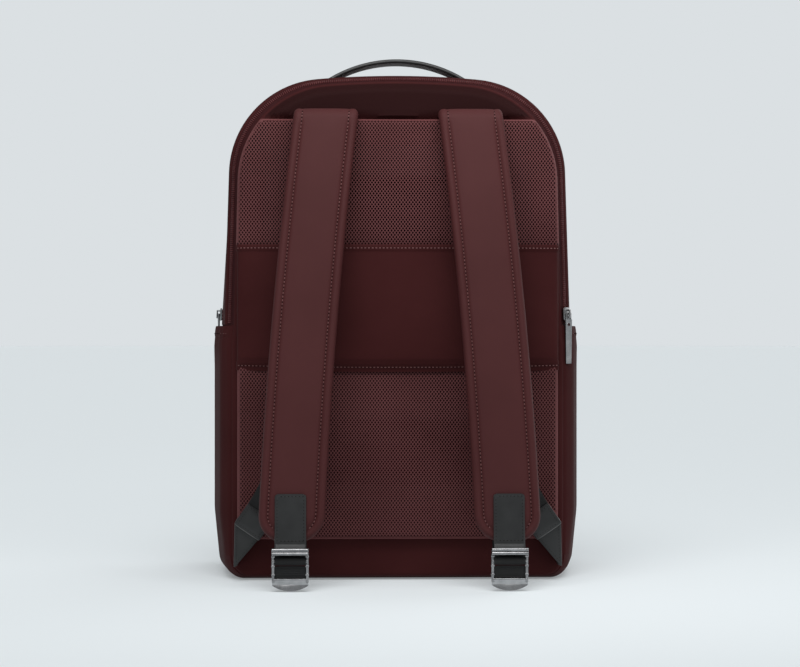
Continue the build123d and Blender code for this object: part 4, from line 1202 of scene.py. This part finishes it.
for side, sign in (("left", -1), ("right", 1)):
    cx = sign * BUCKLE_X
    parts = []
    for edge in (-1, 1):
        parts.append(block((2.2, 3.0, 27.5), (cx + edge * 13.5, BAR_Y, 34.8 - 13.75), 0.7))
        for z in (28.2, 20.6, 13.8):
            parts.append(block((2.9, 3.9, 2.0), (cx + edge * 13.45, BAR_Y, z), 0.6))
        parts.append(block((2.4, 4.2, 5.6), (cx + edge * 13.4, BAR_Y - 2.6, 32.0), 0.7))
    parts.append(rod(2.1, 28.2, (cx, BAR_Y, BAR_Z)))
    for z in (33.55, 30.75):
        parts.append(rod(1.45, 29.0, (cx, BAR_Y - 4.7, z), "X", 24, 0.4))
    parts.append(block((27.6, 1.1, 3.4), (cx, BAR_Y - 4.4, 32.1), 0.3))
    parts.append(rod(1.7, 28.2, (cx, BAR_Y, SECOND_Z)))
    # The half-moon lip: a thick disc cut across, drawn up to the rails and dished.
    lip = rod(25.4, 2.6, (cx, BAR_Y, 0.8 + 25.4), "Y", 96)
    edit(lip)
    bpy.ops.mesh.select_all(action="SELECT")
    bpy.ops.mesh.bisect(plane_co=(cx * MM, BAR_Y * MM, 5.2 * MM), plane_no=UP,
                        use_fill=True, clear_outer=True)
    done()
    on_faces(lip, lambda f: f.normal.z > 0.9, bpy.ops.mesh.extrude_region_move,
             TRANSFORM_OT_translate={"value": (0, 0, 4.6 * MM)})
    on_faces(lip, lambda f: f.normal.y < -0.9, bpy.ops.mesh.inset, thickness=1.1 * MM, depth=-0.45 * MM)
    round_edges(lip, 0.45, 3, 30)
    lip["finish"] = "polished_metal"
    parts.append(lip)
    parts.append(block((27.6, 2.4, 1.1), (cx, BAR_Y - 0.9, 10.1), 0.5))
    buckle = fuse(f"ladder_buckle_{side}", parts, "gunmetal")
    settle(buckle, "gunmetal", f"buckle_{side}", (f"buckle_{side}",))

    # Webbing round the second bar and down behind the window.
    turns = [(cx, BAR_Y - 2.75 * math.cos(a), SECOND_Z + 2.75 * math.sin(a))
             for a in np.linspace(-0.9, 1.15 * math.pi, 26)]
    line = resample(np.array(turns), 40)
    along = unit(np.gradient(line, axis=0))
    across = rows_of(RIGHT, len(line))
    out = np.cross(along, across)
    verts, faces = sweep_strip(line, across, out, WEB_WIDTH, 1.5)
    parts = [(verts, faces, "black_webbing")]
    fine = resample(np.concatenate([line, out], 1), 16)[:, :3]
    away = unit((fine - (cx, BAR_Y, SECOND_Z)) * (0, 1, 1))
    ribs = beads(fine + away * 0.72, rows_of(RIGHT, 16), away, RIB_LENGTH, 0.9, 0.3)
    parts.append((*ribs, "black_webbing"))
    tail = np.array([(cx, BAR_Y - 0.2 + 1.1 * t, 20.2 - 13.5 * t) for t in np.linspace(0, 1, 24)])
    band = sweep_strip(tail, rows_of(RIGHT, 24), rows_of(BACKWARD, 24), WEB_WIDTH, 1.4)
    parts.append((*band, "black_webbing"))
    fine = resample(tail, 9) + (0, -0.68, 0)
    ribs = beads(fine, rows_of(RIGHT, 9), rows_of(BACKWARD, 9), RIB_LENGTH, 1.2, 0.4)
    parts.append((*ribs, "black_webbing"))
    turn = sew(f"webbing_round_bar_{side}", parts)
    settle(turn, "black_webbing", f"buckle_{side}", (f"webbing_turn_{side}",))


def placing_of(origin, x_dir, z_dir):
    """The matrix that puts a fitting's own axes at origin."""
    x, z = Vector(x_dir).normalized(), Vector(z_dir).normalized()
    y = z.cross(x)
    matrix = Matrix((x, y, z)).transposed().to_4x4()
    matrix.translation = Vector(origin) * MM
    return matrix


def slider_parts():
    """A zipper slider on its own axes: x across the tape, y up the zipper, z out of the tape."""
    plate = block((8.6, 10.6, 1.1), (0, 0, 1.95), 0.0)
    on_faces(plate, lambda f: f.normal.y > 0.9, bpy.ops.transform.resize, value=(0.72, 1, 1))
    on_faces(plate, lambda f: f.normal.z > 0.9, bpy.ops.mesh.inset, thickness=0.8 * MM, depth=0.25 * MM)
    round_edges(plate, 0.35, 3, 30)
    parts = [plate]
    for edge in (-1, 1):
        parts.append(block((1.1, 9.6, 1.5), (edge * 3.75, -0.3, 1.35), 0.3))
    for y in (-3.0, 3.0):
        parts.append(block((2.4, 1.3, 3.4), (0, y, 3.6), 0.4))
    parts.append(block((2.4, 7.2, 1.1), (0, 0, 5.25), 0.5))
    return parts


def pull_parts(length):
    """A zipper pull on its own axes, hanging towards -y from its bar."""
    parts = [rod(0.85, 5.2, (0, 0, 0), "X", 20)]
    for edge in (-1, 1):
        parts.append(block((1.2, 7.0, 1.6), (edge * 2.3, -2.75, 0), 0.4))
    plate = block((7.4, length, 1.5), (0, -4.6 - length / 2, 0), 0.0)
    on_faces(plate, lambda f: f.normal.y < -0.9, bpy.ops.transform.resize, value=(0.82, 1, 0.9))
    for facing in (1, -1):
        on_faces(plate, lambda f: f.normal.z * facing > 0.9, bpy.ops.mesh.inset,
                 thickness=0.9 * MM, depth=-0.28 * MM)
    round_edges(plate, 0.35, 3, 30)
    parts.append(plate)
    parts.append(ring_of(1.55, 0.42, (0, -9.0, 0.35)))
    cap = rod(1.2, 1.55, (0, -9.0, 0), "Z", 24)
    cap["finish"] = "lining_fabric"
    parts.append(cap)
    return parts


SLIDERS = {
    "laptop": ((139.642, -65.5, 221.0), (0.638, 0.770, 0.0), (0.770168, -0.637491, 0.021143), (0, 0, 1), 37.0,
               "laptop_slider", "laptop_pull"),
    "main": ((-149.39, 0.0, 221.0), (0.0, -1.0, 0.0), (-0.998159, 0.0, 0.060648), (0, 0, 1), 26.0,
             "main_slider", "main_slider"),
    "front": ((-99.0, FRONT_Y, FRONT_ZIP), (0.0, 0.0, -1.0), (0.0, 1.0, 0.0), (-1, 0, 0), 30.0,
              "front_slider", "front_pull"),
}
for name, (origin, x_dir, z_dir, up, length, slider_body, pull_body) in SLIDERS.items():
    slider = fuse(f"{name}_zip_slider", slider_parts(), "gunmetal", placing_of(origin, x_dir, z_dir))
    settle(slider, "gunmetal", slider_body, (f"{name}_slider",))
    pivot = np.array(origin) + unit(z_dir) * 3.8
    across = (0.80, 0.60, 0.0) if name == "laptop" else x_dir  # this pull hangs a little twisted
    placing = placing_of(pivot, across, np.cross(across, up))
    pull = fuse(f"{name}_zip_pull", pull_parts(length), "gunmetal", placing)
    settle(pull, "gunmetal", pull_body, (f"{name}_pull",))

# ---------------------------------------------------------------- what is inside

inside = {"divider": "grey_lining", "base_board": "board", "back_board": "board",
          "front_pocket_bag": "grey_lining"}
for node, finish in inside.items():
    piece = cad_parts[node]
    piece.data.materials.clear()
    piece.data.materials.append(finishes[finish])

# ---------------------------------------------------------------- studio

bpy.ops.mesh.primitive_circle_add(vertices=96, radius=30.0, fill_type="NGON", location=(0, 0, 0))
floor = bpy.context.object
floor.name = "studio_floor"
on_faces(floor, lambda f: True, bpy.ops.mesh.inset, thickness=24.0)
paper = bpy.data.materials.new("pale_paper")
paper.use_nodes = True
paper_shader = paper.node_tree.nodes["Principled BSDF"]
for label, value in (("Base Color", (0.585, 0.620, 0.636, 1.0)), ("Roughness", 1.0),
                     ("Specular IOR Level", 0.0), ("Emission Color", (0.94, 0.985, 1.0, 1.0)),
                     ("Emission Strength", 0.225)):
    paper_shader.inputs[label].default_value = value
floor.data.materials.append(paper)

world = bpy.data.worlds.new("soft_room")
bpy.context.scene.world = world
world.use_nodes = True
# The camera sees the room at full strength, and the bag is lit by less than half of it.
nodes, links = world.node_tree.nodes, world.node_tree.links
nodes["Background"].inputs[0].default_value = (0.708, 0.745, 0.768, 1.0)
room = nodes.new("ShaderNodeMapRange")
room.inputs["To Min"].default_value = 0.45
room.inputs["To Max"].default_value = 1.0
links.new(nodes.new("ShaderNodeLightPath").outputs["Is Camera Ray"], room.inputs["Value"])
links.new(room.outputs[0], nodes["Background"].inputs[1])


def lamp(name, kind, energy, towards, location):
    data = bpy.data.lights.new(name, kind)
    data.energy = energy
    holder = bpy.data.objects.new(name, data)
    bpy.context.collection.objects.link(holder)
    holder.location = location
    holder.rotation_euler = Vector(towards).to_track_quat("-Z", "Y").to_euler()
    return data


for name, towards, energy, softness in (
    ("overhead_panel", (0.12, 0.62, -1.0), 1.25, 50.0),
    ("side_fill", (-1.0, 0.35, -0.3), 0.42, 60.0),
    ("rear_fill", (-0.82, -0.72, -0.5), 0.9, 60.0),
):
    lamp(name, "SUN", energy, towards, [-c for c in towards]).angle = math.radians(softness)
softbox = lamp("top_softbox", "AREA", 2.2, (-0.04, 0.92, -0.39), (0.04, -0.42, 0.63))
softbox.shape = "RECTANGLE"
softbox.size, softbox.size_y = 0.7, 0.16

camera_data = bpy.data.cameras.new("camera")
camera_data.lens = 86.7
camera_data.sensor_width = 36.0
camera = bpy.data.objects.new("camera", camera_data)
bpy.context.collection.objects.link(camera)
camera.location = (-0.040, -1.672, 0.2046)
camera.rotation_euler = (math.pi / 2, 0, -0.02613)
bpy.context.scene.camera = camera
bpy.context.scene.view_settings.view_transform = "Standard"
